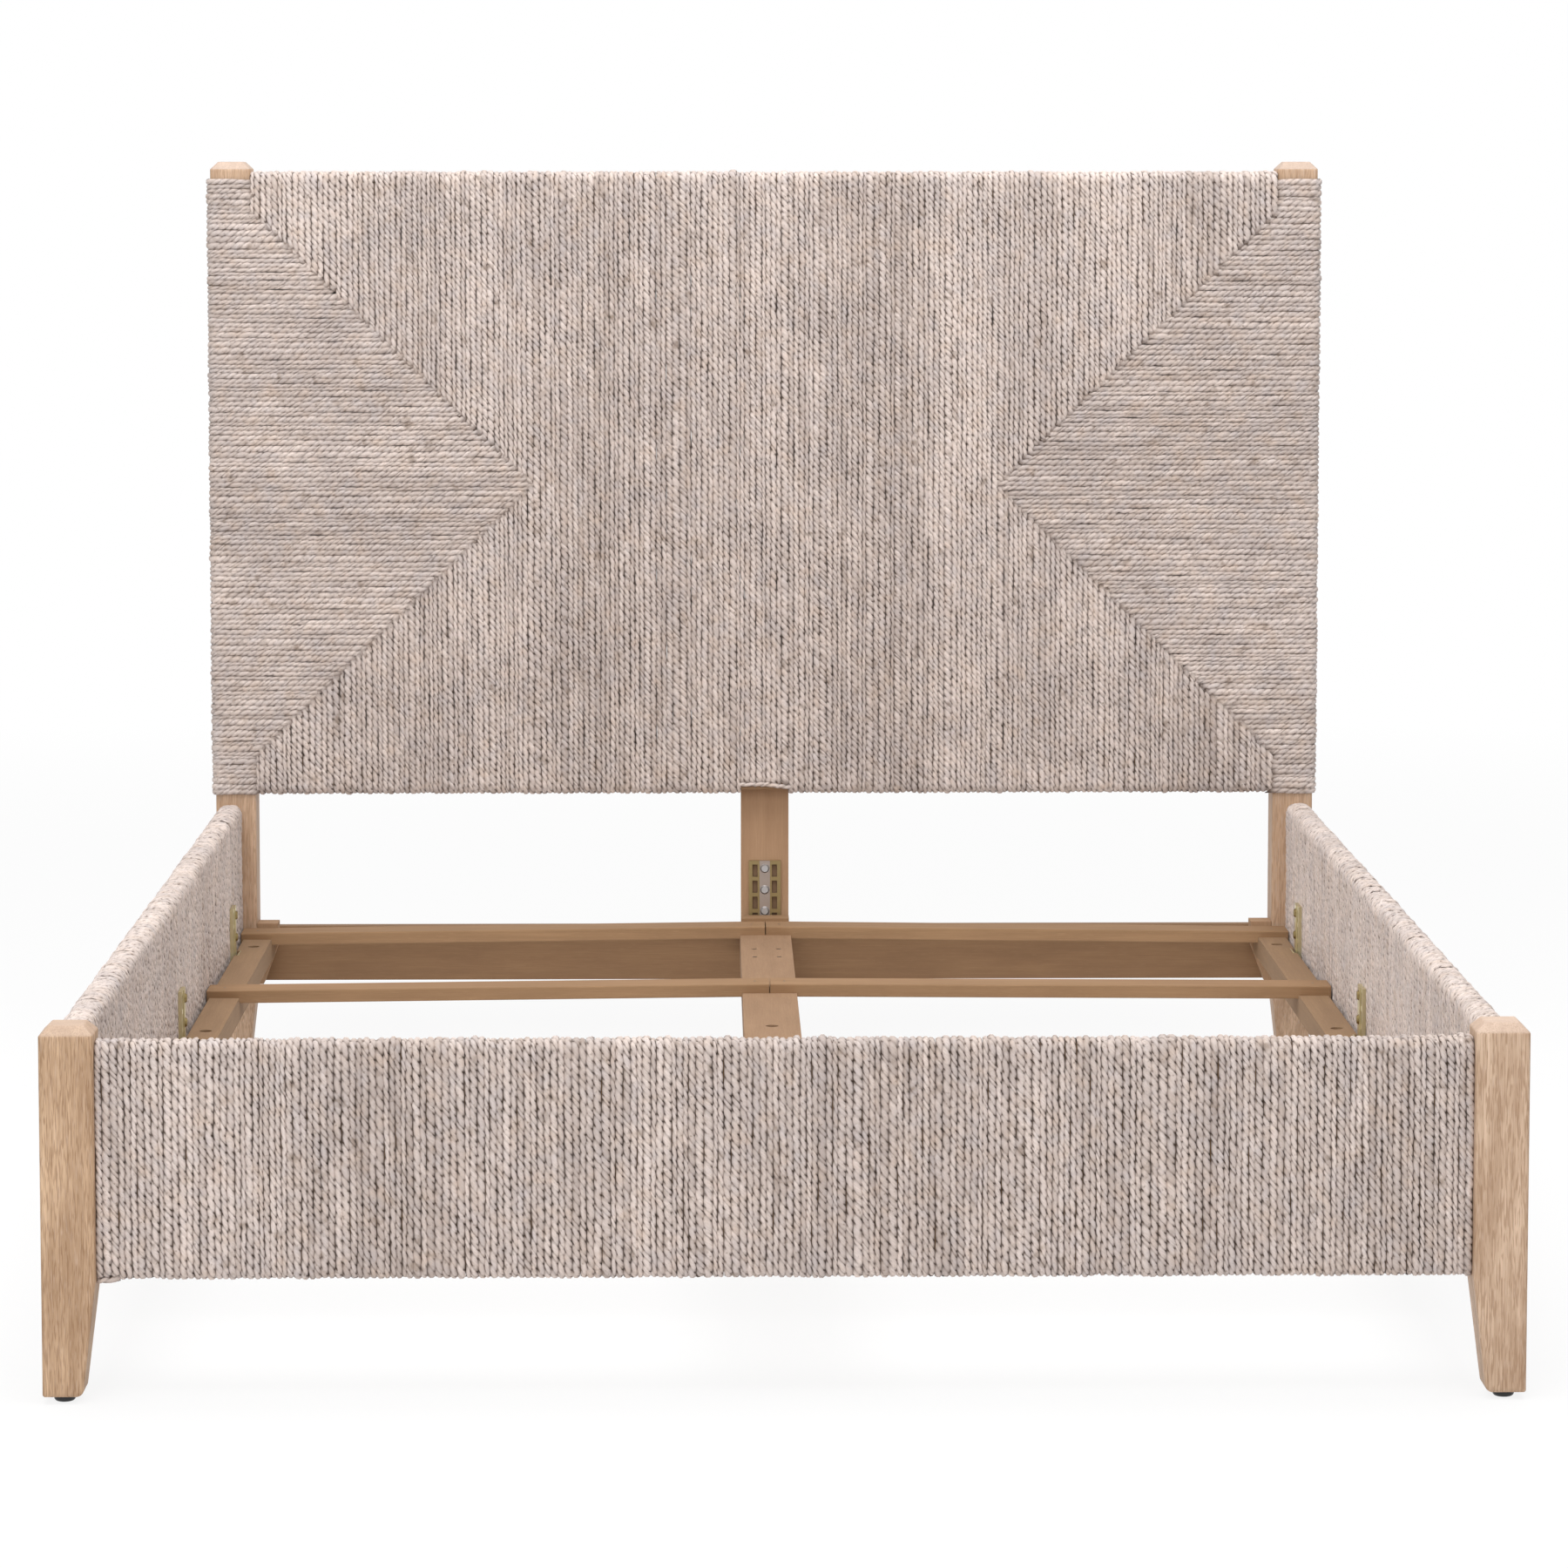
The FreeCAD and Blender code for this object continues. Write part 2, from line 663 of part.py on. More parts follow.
def hook_plate(name, facing, wall, top, row, up):
    """A plate with two tongues that reach through a row of windows and hang down behind the steel."""
    body = new_body(name, (*wall, "0"), FACING_TURN[facing])
    sheet_sketch = sketch_on(body, "XZ_Plane", "sheet", "hook_back")
    rectangle(sheet_sketch, centred("hook_width"), up)
    pad(body, sheet_sketch, "hook_sheet")
    sill = f"{top} - bracket_margin - window_height - {row} * window_pitch + clearance"
    behind = "0 - (bracket_depth - bracket_sheet - clearance)"
    for side, way in SIDES.items():
        tongue = sketch_on(body, "YZ_Plane", f"tongue_{side}", f"{way} * window_center")
        outline(tongue, [
            ("0 - hook_back", sill),
            (behind, sill),
            (behind, f"{sill} - hook_nose_drop"),
            ("0 - clearance", f"{sill} - hook_nose_drop"),
            ("0 - clearance", f"{sill} + hook_arm_height"),
            ("0 - hook_back", f"{sill} + hook_arm_height"),
        ])
        pad(body, tongue, "hook_tongue_width", both=True)
    return body


STEPS = {"+x": (1, 0), "-x": (-1, 0), "+y": (0, 1), "-y": (0, -1)}


def out_from(wall, facing, distance):
    """The place at a distance in front of a wall."""
    return tuple(f"{place} + {step} * ({distance})" for place, step in zip(wall, STEPS[facing]))


def wall_screws(name, facing, wall, top):
    """The screws of one bracket: a crowned head on the raised column and a shank into the wood."""
    screws = []
    for i in range(BRACKET_SCREWS):
        height = f"{top} - bracket_screw_first - {i} * bracket_screw_pitch"
        seat = (*out_from(wall, facing, "bracket_face"), height)
        into = OPPOSITE[facing]
        crest = f"{SCREW_CROWN_SHARE} * screw_head_diameter"
        crown = taper(f"{name}_crown_{i}", "screw_head_diameter", crest, "screw_head_height", seat, facing)
        shank = rod(f"{name}_shank_{i}", "screw_diameter", "bracket_face + screw_length", seat, into)
        screws.append(fused(f"{name}_screw_{i}", [crown, shank]))
    return screws


BRACKET_SITES = {}
for side, way in SIDES.items():
    for i in range(RAIL_BRACKETS):
        along = f"head_face - bracket_first - {i} * bracket_pitch"
        wall = (f"{way} * rail_inner", along)
        facing = "-x" if way > 0 else "+x"
        BRACKET_SITES[f"{side}_{i}"] = (side, facing, wall, "side_bracket_top", SIDE_HOOK_ROW)
CENTER_WALLS = {"head": ("-y", ("0", "center_leg_face")), "foot": ("+y", ("0", "panel_back"))}
for end, (facing, wall) in CENTER_WALLS.items():
    BRACKET_SITES[f"center_{end}"] = (f"center_{end}", facing, wall, "center_bracket_top", CENTER_HOOK_ROW)

brackets = {}
hooks = {}
screws = {}
for site, (place, facing, wall, top, row) in BRACKET_SITES.items():
    up = ("center_rail_bottom", "deck_top") if place.startswith("center") else ("ledger_bottom", "slat_bottom")
    brackets.setdefault(place, []).append(bracket(f"bracket_{site}", facing, wall, top))
    hooks.setdefault(place, []).append(hook_plate(f"hook_{site}", facing, wall, top, row, up))
    screws.setdefault(place, []).extend(wall_screws(f"bracket_{site}", facing, wall, top))
for side in SIDES:
    keep(f"level_brackets_{side}", group(f"level_brackets_{side}", brackets[side]))
    keep(f"ledger_hooks_{side}", group(f"ledger_hooks_{side}", hooks[side]))
for end in CENTER_WALLS:
    keep(f"level_bracket_center_{end}", brackets[f"center_{end}"][0])
keep("center_rail_hooks", group("center_rail_hooks", hooks["center_head"] + hooks["center_foot"]))
all_screws = [one for place in screws.values() for one in place]
keep("bracket_screws", group("bracket_screws", all_screws))

# Headboard frame under the cord, its centre leg, stretchers and corner blocks

between_posts = ("0 - post_inner", "post_inner")
post_depth = ("head_face", "head_back")
for rail in ("top", "bottom"):
    blank = slab(f"{rail}_rail_blank", between_posts, post_depth, (f"{rail}_rail_low", f"{rail}_rail_high"))
    keep(f"headboard_{rail}_rail", cut(f"headboard_{rail}_rail", blank, [headboard_dowels]))

leg_blank = slab("center_leg_blank", centred("center_leg_width"), ("center_leg_face", "head_back"),
                 ("stretcher_bottom", "bottom_rail_low"))
center_head_screws = group("center_head_screws", screws["center_head"])
keep("head_center_leg", cut("head_center_leg", leg_blank, [headboard_dowels, center_head_screws]))
for side, way in SIDES.items():
    reach = mirrored(way, "center_leg_width / 2", "post_inner")
    blank = slab(f"stretcher_{side}_blank", reach, ("stretcher_face", "head_back"),
                 ("stretcher_bottom", "stretcher_top"))
    keep(f"head_stretcher_{side}", cut(f"head_stretcher_{side}", blank, [headboard_dowels]))
    block = new_body(f"head_corner_block_{side}", ("0", "0", "0"))
    block_edge = sketch_on(block, "XZ_Plane", "edge", "0 - stretcher_face")
    outline(block_edge, [
        (f"{way} * post_inner", "corner_block_top"),
        (f"{way} * post_inner", "stretcher_bottom"),
        (f"{way} * (post_inner - corner_block_foot)", "stretcher_bottom"),
        (f"{way} * (post_inner - corner_block_width)", "corner_block_knee"),
        (f"{way} * (post_inner - corner_block_width)", "corner_block_top"),
    ])
    pad(block, block_edge, "stretcher_face - head_face")
    keep(f"head_corner_block_{side}", block)

# Headboard cord: a skin of one cord's thickness, its upright cords in an hourglass between two flat-laid fields

hollow_up = ("bottom_rail_low", "top_rail_high")
shell_tools = [slab("shell_hollow", ("0 - half_width", "half_width"), post_depth, hollow_up)]
for side, way in SIDES.items():
    shell_tools.append(slab(f"shell_post_{side}", mirrored(way, "post_inner", "half_width"), post_depth,
                            ("head_wrap_bottom - overrun", "head_wrap_top + overrun")))
shell_block = slab("shell_block", ("0 - wrap_outer", "wrap_outer"), ("wrap_front", "wrap_back"),
                   ("head_wrap_bottom", "head_wrap_top"))
shell = cut("cord_shell", shell_block, shell_tools)


def cord_field(name, corners):
    """The part of the headboard's skin inside an outline seen from the front."""
    body = new_body(f"{name}_field", ("0", "0", "0"))
    sketch = sketch_on(body, "XZ_Plane", "edge", "0 - wrap_back - overrun")
    outline(sketch, corners)
    pad(body, sketch, "wrap_back - wrap_front + 2 * overrun")
    piece = doc.addObject("Part::Common", name)
    piece.Base = shell
    piece.Tool = body
    return piece


def seam(way, top):
    """The seam of one side field, from its top to the bottom of the headboard."""
    return [
        (f"{way} * post_inner", top),
        (f"{way} * post_inner", "weave_high"),
        (f"{way} * weave_apex", "wrap_middle"),
        (f"{way} * post_inner", "weave_low"),
        (f"{way} * post_inner", "head_wrap_bottom - overrun"),
    ]


for side, way in SIDES.items():
    edge = f"{way} * (wrap_outer + overrun)"
    corners = seam(way, "post_wrap_top") + [(edge, "head_wrap_bottom - overrun"), (edge, "post_wrap_top")]
    keep(f"headboard_cord_{side}", cord_field(f"headboard_cord_{side}", corners))
seams = [seam(way, "head_wrap_top + overrun") for way in SIDES.values()]
middle_field = cord_field("headboard_cord_upright", seams[0] + seams[1][::-1])
leg_notch = slab("leg_notch", centred("center_leg_width"), ("center_leg_face", "head_back"),
                 ("head_wrap_bottom - overrun", "bottom_rail_low"))
keep("headboard_cord_middle", cut("headboard_cord_middle", middle_field, [leg_notch]))

# Footboard and side rails: a board with round edges inside a skin of cord


def bar(name, plane, place, sides_and_round, length):
    """A bar of round-cornered section, along X from a YZ plane or along Y from an XZ plane."""
    body = new_body(name, place)
    section = sketch_on(body, plane, "section")
    rounded_rectangle(section, *sides_and_round)
    pad(body, section, length, back=plane == "XZ_Plane")
    return body


def bound_board(name, plane, place, length, core_cuts, both_cuts):
    """A core board and its cord, with the cuts of the core alone and those that go through both."""
    across, along, _ = place
    inset = (across, f"{along} + cord_thickness", "core_bottom")
    if plane == "XZ_Plane":
        inset = (f"{across} + cord_thickness", along, "core_bottom")
    core_section = ("core_thickness", "core_height", "core_round")
    cord_section = ("panel_thickness", "panel_top - panel_bottom", "panel_round")
    core = bar(f"{name}_core_blank", plane, inset, core_section, length)
    cord = bar(f"{name}_cord_blank", plane, place, cord_section, length)
    keep(f"{name}_core", cut(f"{name}_core", core, core_cuts + both_cuts))
    keep(f"{name}_cord", cut(f"{name}_cord", cord, [core] + both_cuts))


center_foot_screws = group("center_foot_screws", screws["center_foot"])
bound_board("footboard", "YZ_Plane", ("0 - post_inner", "panel_front", "panel_bottom"), "2 * post_inner",
            [footboard_dowels], [center_foot_screws])
for side, way in SIDES.items():
    low_side = mirrored(way, "rail_inner", "rail_outer")[0]
    ends = [rail_hooks[end, side] for end in END_FACES]
    corner = (low_side, "foot_back", "panel_bottom")
    side_screws = group(f"{side}_screws", screws[side])
    bound_board(f"side_rail_{side}", "XZ_Plane", corner, "head_face - foot_back", ends, [side_screws])

# Slats in rows of two halves, housed in the ledgers and the centre rail and screwed down to them


def deck_screw(name, spot, length):
    """A countersunk screw, straight down from its spot."""
    head = taper(f"{name}_head", "deck_screw_head", "deck_screw_diameter", "deck_screw_sink", spot, "-z")
    shank = rod(f"{name}_shank", "deck_screw_diameter", length, spot, "-z")
    return fused(name, [head, shank])


ROWS = [
    "slat_back_gap",
    "slat_back_gap + slat_row_pitch",
    "third_row",
    "(third_row + last_row) / 2",
    "last_row",
]
slat_blanks = {side: [] for side in SIDES}
slat_screws = {side: [] for side in SIDES}
for side, way in SIDES.items():
    for i, start in enumerate(ROWS, start=1):
        along = mirrored(-1, start, f"{start} + slat_width", "head_face")
        slat = slab(f"slat_{side}_{i}_blank", mirrored(way, "slat_joint_gap / 2", "slat_end"), along,
                    ("slat_bottom", "slat_top"))
        pair = []
        for seat, across in (("rail", "ledger_middle"), ("center", "center_rail_width / 4")):
            spot = (f"{way} * {across}", f"head_face - ({start}) - slat_width / 2", "slat_top")
            pair.append(deck_screw(f"slat_{side}_{i}_{seat}_screw", spot, "deck_screw_length"))
        keep(f"slat_{side}_{i}", cut(f"slat_{side}_{i}", slat, pair))
        slat_blanks[side].append(slat)
        slat_screws[side] += pair
both_slats = slat_blanks["left"] + slat_blanks["right"]
both_slat_screws = slat_screws["left"] + slat_screws["right"]
keep("slat_screws", group("slat_screws", both_slat_screws))

# Ledgers, notched where they pass the brackets


def deck_bore(name, across, i, top):
    """A blind hole in the top of a deck bearer."""
    spot = (across, f"head_face - deck_bore_first - {i} * deck_bore_pitch", top)
    return rod(name, "deck_bore_diameter", "deck_bore_depth", spot, "-z")


for side, way in SIDES.items():
    blank = slab(f"ledger_{side}_blank", mirrored(way, "ledger_inner", "ledger_outer"),
                 ("foot_back + ledger_end_gap", "head_face - ledger_end_gap"), ("ledger_bottom", "slat_bottom"))
    tools = []
    for i in range(DECK_BORES):
        tools.append(deck_bore(f"ledger_bore_{side}_{i}", f"{way} * ledger_middle", i, "slat_bottom"))
    for i in range(RAIL_BRACKETS):
        middle = f"head_face - bracket_first - {i} * bracket_pitch"
        tools.append(slab(f"ledger_notch_{side}_{i}", mirrored(way, "rail_inner - hook_front", "rail_inner"),
                          centred("hook_width + 2 * clearance", middle),
                          ("ledger_bottom - overrun", "slat_bottom + overrun")))
    keep(f"ledger_{side}", cut(f"ledger_{side}", blank, tools + slat_screws[side]))

# Centre rail, its end block, and the support legs that stand under it on cleats

LEG_PLACES = {
    "head": "center_rail_head - support_leg_inset",
    "middle": "head_face - third_row + cleat_length / 2",
}
center_screws = []
cleats = []
for place, along in LEG_PLACES.items():
    for side, way in SIDES.items():
        across = f"{way} * center_screw_pitch_across / 2"
        for row, step in enumerate(SIDES.values()):
            spot = (across, f"{along} + {step} * center_screw_pitch_along / 2", "deck_top")
            center_screws.append(deck_screw(f"center_screw_{place}_{side}_{row}", spot, "center_screw_length"))
screw_group = keep("center_rail_screws", group("center_rail_screws", center_screws))
for place, along in LEG_PLACES.items():
    blank = slab(f"cleat_{place}_blank", centred("cleat_width"), centred("cleat_length", along),
                 ("center_rail_bottom - cleat_thickness", "center_rail_bottom"))
    cleats.append(cut(f"cleat_{place}", blank, [screw_group]))
    leg = slab(f"support_leg_{place}_blank", centred("support_leg_side"), centred("support_leg_side", along),
               ("leg_bottom", "center_rail_bottom - cleat_thickness"))
    insert, bores = leveller(f"leveller_center_{place}", "0", along)
    inserts.append(insert)
    keep(f"support_leg_{place}", cut(f"support_leg_{place}", leg, bores))
keep("support_leg_cleats", group("support_leg_cleats", cleats))
keep("leveller_inserts", group("leveller_inserts", inserts))

rail_blank = slab("center_rail_blank", centred("center_rail_width"), ("center_rail_foot", "center_rail_head"),
                  ("center_rail_bottom", "deck_top"))
rail_tools = [deck_bore("center_bore", "0", 1, "deck_top"), screw_group]
keep("center_rail", cut("center_rail", rail_blank, rail_tools + both_slats + both_slat_screws))
block_along = ("head_face - slat_back_gap", "center_rail_head")
block_up = ("deck_top", "end_block_top")
end_block = slab("center_rail_end_block", centred("center_leg_width"), block_along, block_up)
keep("center_rail_end_block", end_block)

# Every piece is looked over before any file is written

doc.recompute()
for thing in doc.Objects:
    if "Invalid" in thing.State or "Error" in thing.State:
        raise RuntimeError(f"{thing.Label} failed: {thing.State}")
for name, piece in pieces.items():
    shape = piece.Shape
    if shape.isNull() or not shape.isValid() or not shape.Solids:
        raise RuntimeError(f"{name} has no sound solid")

os.makedirs("parts", exist_ok=True)
for name, piece in pieces.items():
    piece.Shape.exportStep(f"parts/{name}.step")
print(len(pieces), "pieces,", sum(len(piece.Shape.Solids) for piece in pieces.values()), "solids")
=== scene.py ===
import json
import math

import bpy
import numpy as np
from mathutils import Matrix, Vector


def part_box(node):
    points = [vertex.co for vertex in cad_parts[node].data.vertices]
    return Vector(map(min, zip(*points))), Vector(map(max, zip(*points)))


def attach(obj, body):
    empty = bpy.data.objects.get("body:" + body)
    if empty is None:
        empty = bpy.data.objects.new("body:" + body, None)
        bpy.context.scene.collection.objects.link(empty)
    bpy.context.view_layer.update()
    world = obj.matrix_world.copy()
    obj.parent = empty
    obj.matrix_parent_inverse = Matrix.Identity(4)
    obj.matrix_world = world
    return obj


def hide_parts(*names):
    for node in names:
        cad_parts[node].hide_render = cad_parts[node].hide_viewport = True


# A queen bed of pale wood, its headboard, footboard and side rails bound in twisted cord.
# Metres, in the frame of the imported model: +Z up, the foot towards -Y, the floor at Z = 0.

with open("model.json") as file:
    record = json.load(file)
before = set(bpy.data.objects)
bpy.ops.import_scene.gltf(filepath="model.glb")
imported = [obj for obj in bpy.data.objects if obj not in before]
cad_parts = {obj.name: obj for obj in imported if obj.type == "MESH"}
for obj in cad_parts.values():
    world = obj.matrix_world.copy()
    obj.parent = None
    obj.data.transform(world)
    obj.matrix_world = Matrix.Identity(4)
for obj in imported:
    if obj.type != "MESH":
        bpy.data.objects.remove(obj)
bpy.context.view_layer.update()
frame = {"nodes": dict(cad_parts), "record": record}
nodes = frame["nodes"]
MM = 0.001
# One seeded source of chance, so that each run lays the same cords
dice = np.random.default_rng(11)


# Helpers for materials


def linear(hex_colour):
    """An sRGB hex colour as a linear colour."""
    shares = [int(hex_colour[i:i + 2], 16) / 255 for i in (1, 3, 5)]
    return tuple(c / 12.92 if c <= 0.04045 else ((c + 0.055) / 1.055) ** 2.4 for c in shares) + (1.0,)


def add(tree, kind, inputs=None, **settings):
    """Add a node with its settings, and set or link its inputs."""
    node = tree.nodes.new(kind)
    for name, value in settings.items():
        setattr(node, name, value)
    for name, value in (inputs or {}).items():
        if isinstance(value, bpy.types.NodeSocket):
            tree.links.new(value, node.inputs[name])
        else:
            node.inputs[name].default_value = value
    return node


def new_material(name):
    """An empty material, its node tree and its shader."""
    material = bpy.data.materials.new(name)
    material.use_nodes = True
    tree = material.node_tree
    return material, tree, tree.nodes["Principled BSDF"]


# The colour sockets of a mix node
MIX_A, MIX_B, MIX_OUT = 6, 7, 2


# Twisted cord


def abaca_cord():
    """Two-ply abaca cord, spun by hand and washed pale: matte, grey and brown yarn, dark gaps between its turns."""
    material, tree, shader = new_material("abaca_cord_two_ply")
    lay = add(tree, "ShaderNodeAttribute", attribute_name="lay").outputs["Vector"]
    depth = add(tree, "ShaderNodeAttribute", attribute_name="depth").outputs["Fac"]
    tint = add(tree, "ShaderNodeAttribute", attribute_name="tint").outputs["Fac"]
    place = add(tree, "ShaderNodeTexCoord").outputs["Object"]
    # Clouds of greyer cord about 90 mm across, where one batch of yarn follows another
    clouds = add(tree, "ShaderNodeTexNoise", {"Vector": place, "Scale": 1 / (90 * MM), "Detail": 3.0})
    cloud_share = add(tree, "ShaderNodeMapRange", {"Value": clouds.outputs[0], "From Min": 0.36, "From Max": 0.66,
                                                   "To Max": 0.35})
    # Stains about 18 mm across
    stains = add(tree, "ShaderNodeTexNoise", {"Vector": place, "Scale": 1 / (18 * MM), "Detail": 2.0})
    stain_share = add(tree, "ShaderNodeMapRange", {"Value": stains.outputs[0], "From Min": 0.62, "From Max": 0.78,
                                                   "To Max": 0.7})
    # Fibres along the ply, 0.9 by 5 mm, coarser than the real 0.2 mm ones so that they show; no two cords are alike
    fibre_place = add(tree, "ShaderNodeVectorMath", {0: lay, 1: (1 / 0.9, 1 / 5, 7.3)}, operation="MULTIPLY")
    fibres = add(tree, "ShaderNodeTexNoise", {"Vector": fibre_place.outputs[0], "Scale": 1.0, "Detail": 4.0})
    fibre_share = add(tree, "ShaderNodeMapRange", {"Value": fibres.outputs[0], "From Min": 0.40, "From Max": 0.74,
                                                   "To Max": 0.55})
    yarn = add(tree, "ShaderNodeMix", {0: tint, MIX_A: linear("#E6D7CF"), MIX_B: linear("#B0A199")}, data_type="RGBA")
    greyed = add(tree, "ShaderNodeMix", {0: cloud_share.outputs[0], MIX_A: yarn.outputs[MIX_OUT],
                                         MIX_B: linear("#ABA2A2")}, data_type="RGBA")
    # Cool and warm mottles about 22 mm across
    mottles = add(tree, "ShaderNodeTexNoise", {"Vector": place, "Scale": 1 / (22 * MM), "Detail": 3.0})
    for low, high, tone in ((0.52, 0.70, "#BDB8BC"), (0.46, 0.30, "#CFB6A2")):
        share = add(tree, "ShaderNodeMapRange", {"Value": mottles.outputs[0], "From Min": low, "From Max": high,
                                                 "To Max": 0.35})
        greyed = add(tree, "ShaderNodeMix", {0: share.outputs[0], MIX_A: greyed.outputs[MIX_OUT],
                                             MIX_B: linear(tone)}, data_type="RGBA")
    streaked = add(tree, "ShaderNodeMix", {0: fibre_share.outputs[0], MIX_A: greyed.outputs[MIX_OUT],
                                           MIX_B: linear("#A19083")}, data_type="RGBA")
    stained = add(tree, "ShaderNodeMix", {0: stain_share.outputs[0], MIX_A: streaked.outputs[MIX_OUT],
                                          MIX_B: linear("#8C7A6C")}, data_type="RGBA")
    # Flecks of husk, 4 mm across
    husks = add(tree, "ShaderNodeTexNoise", {"Vector": place, "Scale": 1 / (4 * MM), "Detail": 2.0})
    husk_share = add(tree, "ShaderNodeMapRange", {"Value": husks.outputs[0], "From Min": 0.63, "From Max": 0.76,
                                                  "To Max": 0.6})
    stained = add(tree, "ShaderNodeMix", {0: husk_share.outputs[0], MIX_A: stained.outputs[MIX_OUT],
                                          MIX_B: linear("#75624F")}, data_type="RGBA")
    # Painted shade, with some dust, between the plies and in the gaps between the turns, fainter where the cord is
    # matted
    matted = add(tree, "ShaderNodeTexNoise", {"Vector": place, "Scale": 1 / (45 * MM), "Detail": 2.0})
    openness = add(tree, "ShaderNodeMapRange", {"Value": matted.outputs[0], "From Min": 0.34, "From Max": 0.62,
                                                "To Min": 0.7, "To Max": 1.15})
    groove = add(tree, "ShaderNodeMapRange", {"Value": depth, "From Min": 0.04, "To Max": 1.0})
    groove_share = add(tree, "ShaderNodeMath", {0: groove.outputs[0], 1: openness.outputs[0]}, operation="MULTIPLY",
                       use_clamp=True)
    colour = add(tree, "ShaderNodeMix", {0: groove_share.outputs[0], MIX_A: stained.outputs[MIX_OUT],
                                         MIX_B: linear("#554439")}, data_type="RGBA")
    bump = add(tree, "ShaderNodeBump", {"Height": fibres.outputs[0], "Strength": 0.5, "Distance": 0.4 * MM})
    tree.links.new(colour.outputs[MIX_OUT], shader.inputs["Base Color"])
    tree.links.new(bump.outputs[0], shader.inputs["Normal"])
    shader.inputs["Roughness"].default_value = 0.88
    shader.inputs["Sheen Weight"].default_value = 0.1
    shader.inputs["Sheen Roughness"].default_value = 0.5
    return material


CORD = abaca_cord()

# Sizes of the cord, and of its two plies, of which one shows every eleven millimetres
CORD_PITCH = 7.5 * MM
CORD_THICKNESS = 6.5 * MM
PLY_SPACING = 10.8 * MM
PLY_LEAN = 2 * PLY_SPACING / (2 * math.pi)
CORNER_RADIUS = 10.5 * MM
# A tip in a seam: how deep it sinks, over what length, how far its shade goes, how far it runs on, and how unevenly
TUCK_DEPTH = 2.4 * MM
TUCK_LENGTH = 4.6 * MM
TUCK_SHADE = 8 * MM
TUCK_OVERLAP = 7.0 * MM
END_SPREAD = 1.6 * MM
# A turn around the edges of its board: how far its gaps fill, and how far it stands off below and above
EDGE_FILL = 3.0 * MM
LOWER_SLACK = 0.35 * MM
UPPER_SLACK = 0.8 * MM
# How unevenly the cord is spun and laid, as shares of a ply's spacing, of a ply's fullness and of a cord's width
PLY_STRETCH = (0.82, 1.18)
GROOVE_SHIFT = 0.32
FULLNESS_SPREAD = 0.08
WIDTH_SPREAD = 0.16
# How far one cord lies above the next, and the waves in which it wanders: their length, sway and lift
LIFT_SPREAD = 0.3 * MM
WANDER = ((210 * MM, 0.5 * MM, 0.30 * MM), (60 * MM, 0.35 * MM, 0.20 * MM))
# Tint from pale yarn to dark: its mean, its slow change over some plies or turns, and what is each ply's or turn's own
MEAN_TINT = 0.42
SLOW_TINT = 0.13
SLOW_PLIES = 9
SLOW_TURNS = 15
PLY_TINT = 0.10
TURN_TINT = 0.07
# Gaps between the turns and creases between the plies, where 1 is a plain one
GAP_SPREAD = 0.3
MOST_GAP = 1.25
CREASE_SPREAD = 0.45
CREASE_LIMITS = (0.1, 1.9)
# The tucked edges of a cord, as shares of its width and of half its thickness: reach, height, and drop into a gap
EDGE_REACH = 0.53
EDGE_HEIGHT = 0.35
GAP_DROP = 0.8
# Most triangles in a piece; the share of its width that a cord takes in the flat layout, and the margin around that
MOST_TRIANGLES = 190000
FLAT_SHARE = 0.94
FLAT_MARGIN = 0.002

# The face of a cord across its width: a tucked edge, four points of its crown, a tucked edge
FACE_ANGLES = np.radians([-95, -66, -23, 23, 66, 95])
EDGES = [0, 5]
NEXT_TO_EDGES = [1, 4]
# The rows of points along one ply, from its groove over its crest: place along the ply, then fullness and depth of
# shade at the tucked edge, at the side and at the top of the crown, and the least gap beside the ply
ROW_STEPS = np.array([0.0, 0.17, 0.50, 0.83])
ROW_FULLNESS = np.array([(1.0, 0.62, 0.76), (1.0, 0.93, 0.97), (1.0, 1.08, 1.08), (1.0, 0.93, 0.97)])
ROW_DEPTH = np.array([(1.0, 0.92, 0.34), (1.0, 0.48, 0.06), (0.9, 0.18, 0.0), (1.0, 0.48, 0.06)])
LEAST_GAP = np.array([1.1, 0.55, 0.0, 0.55])
ACROSS_FACE = [0, 1, 2, 2, 1, 0]
AXES = {"x": 0, "y": 1, "z": 2}


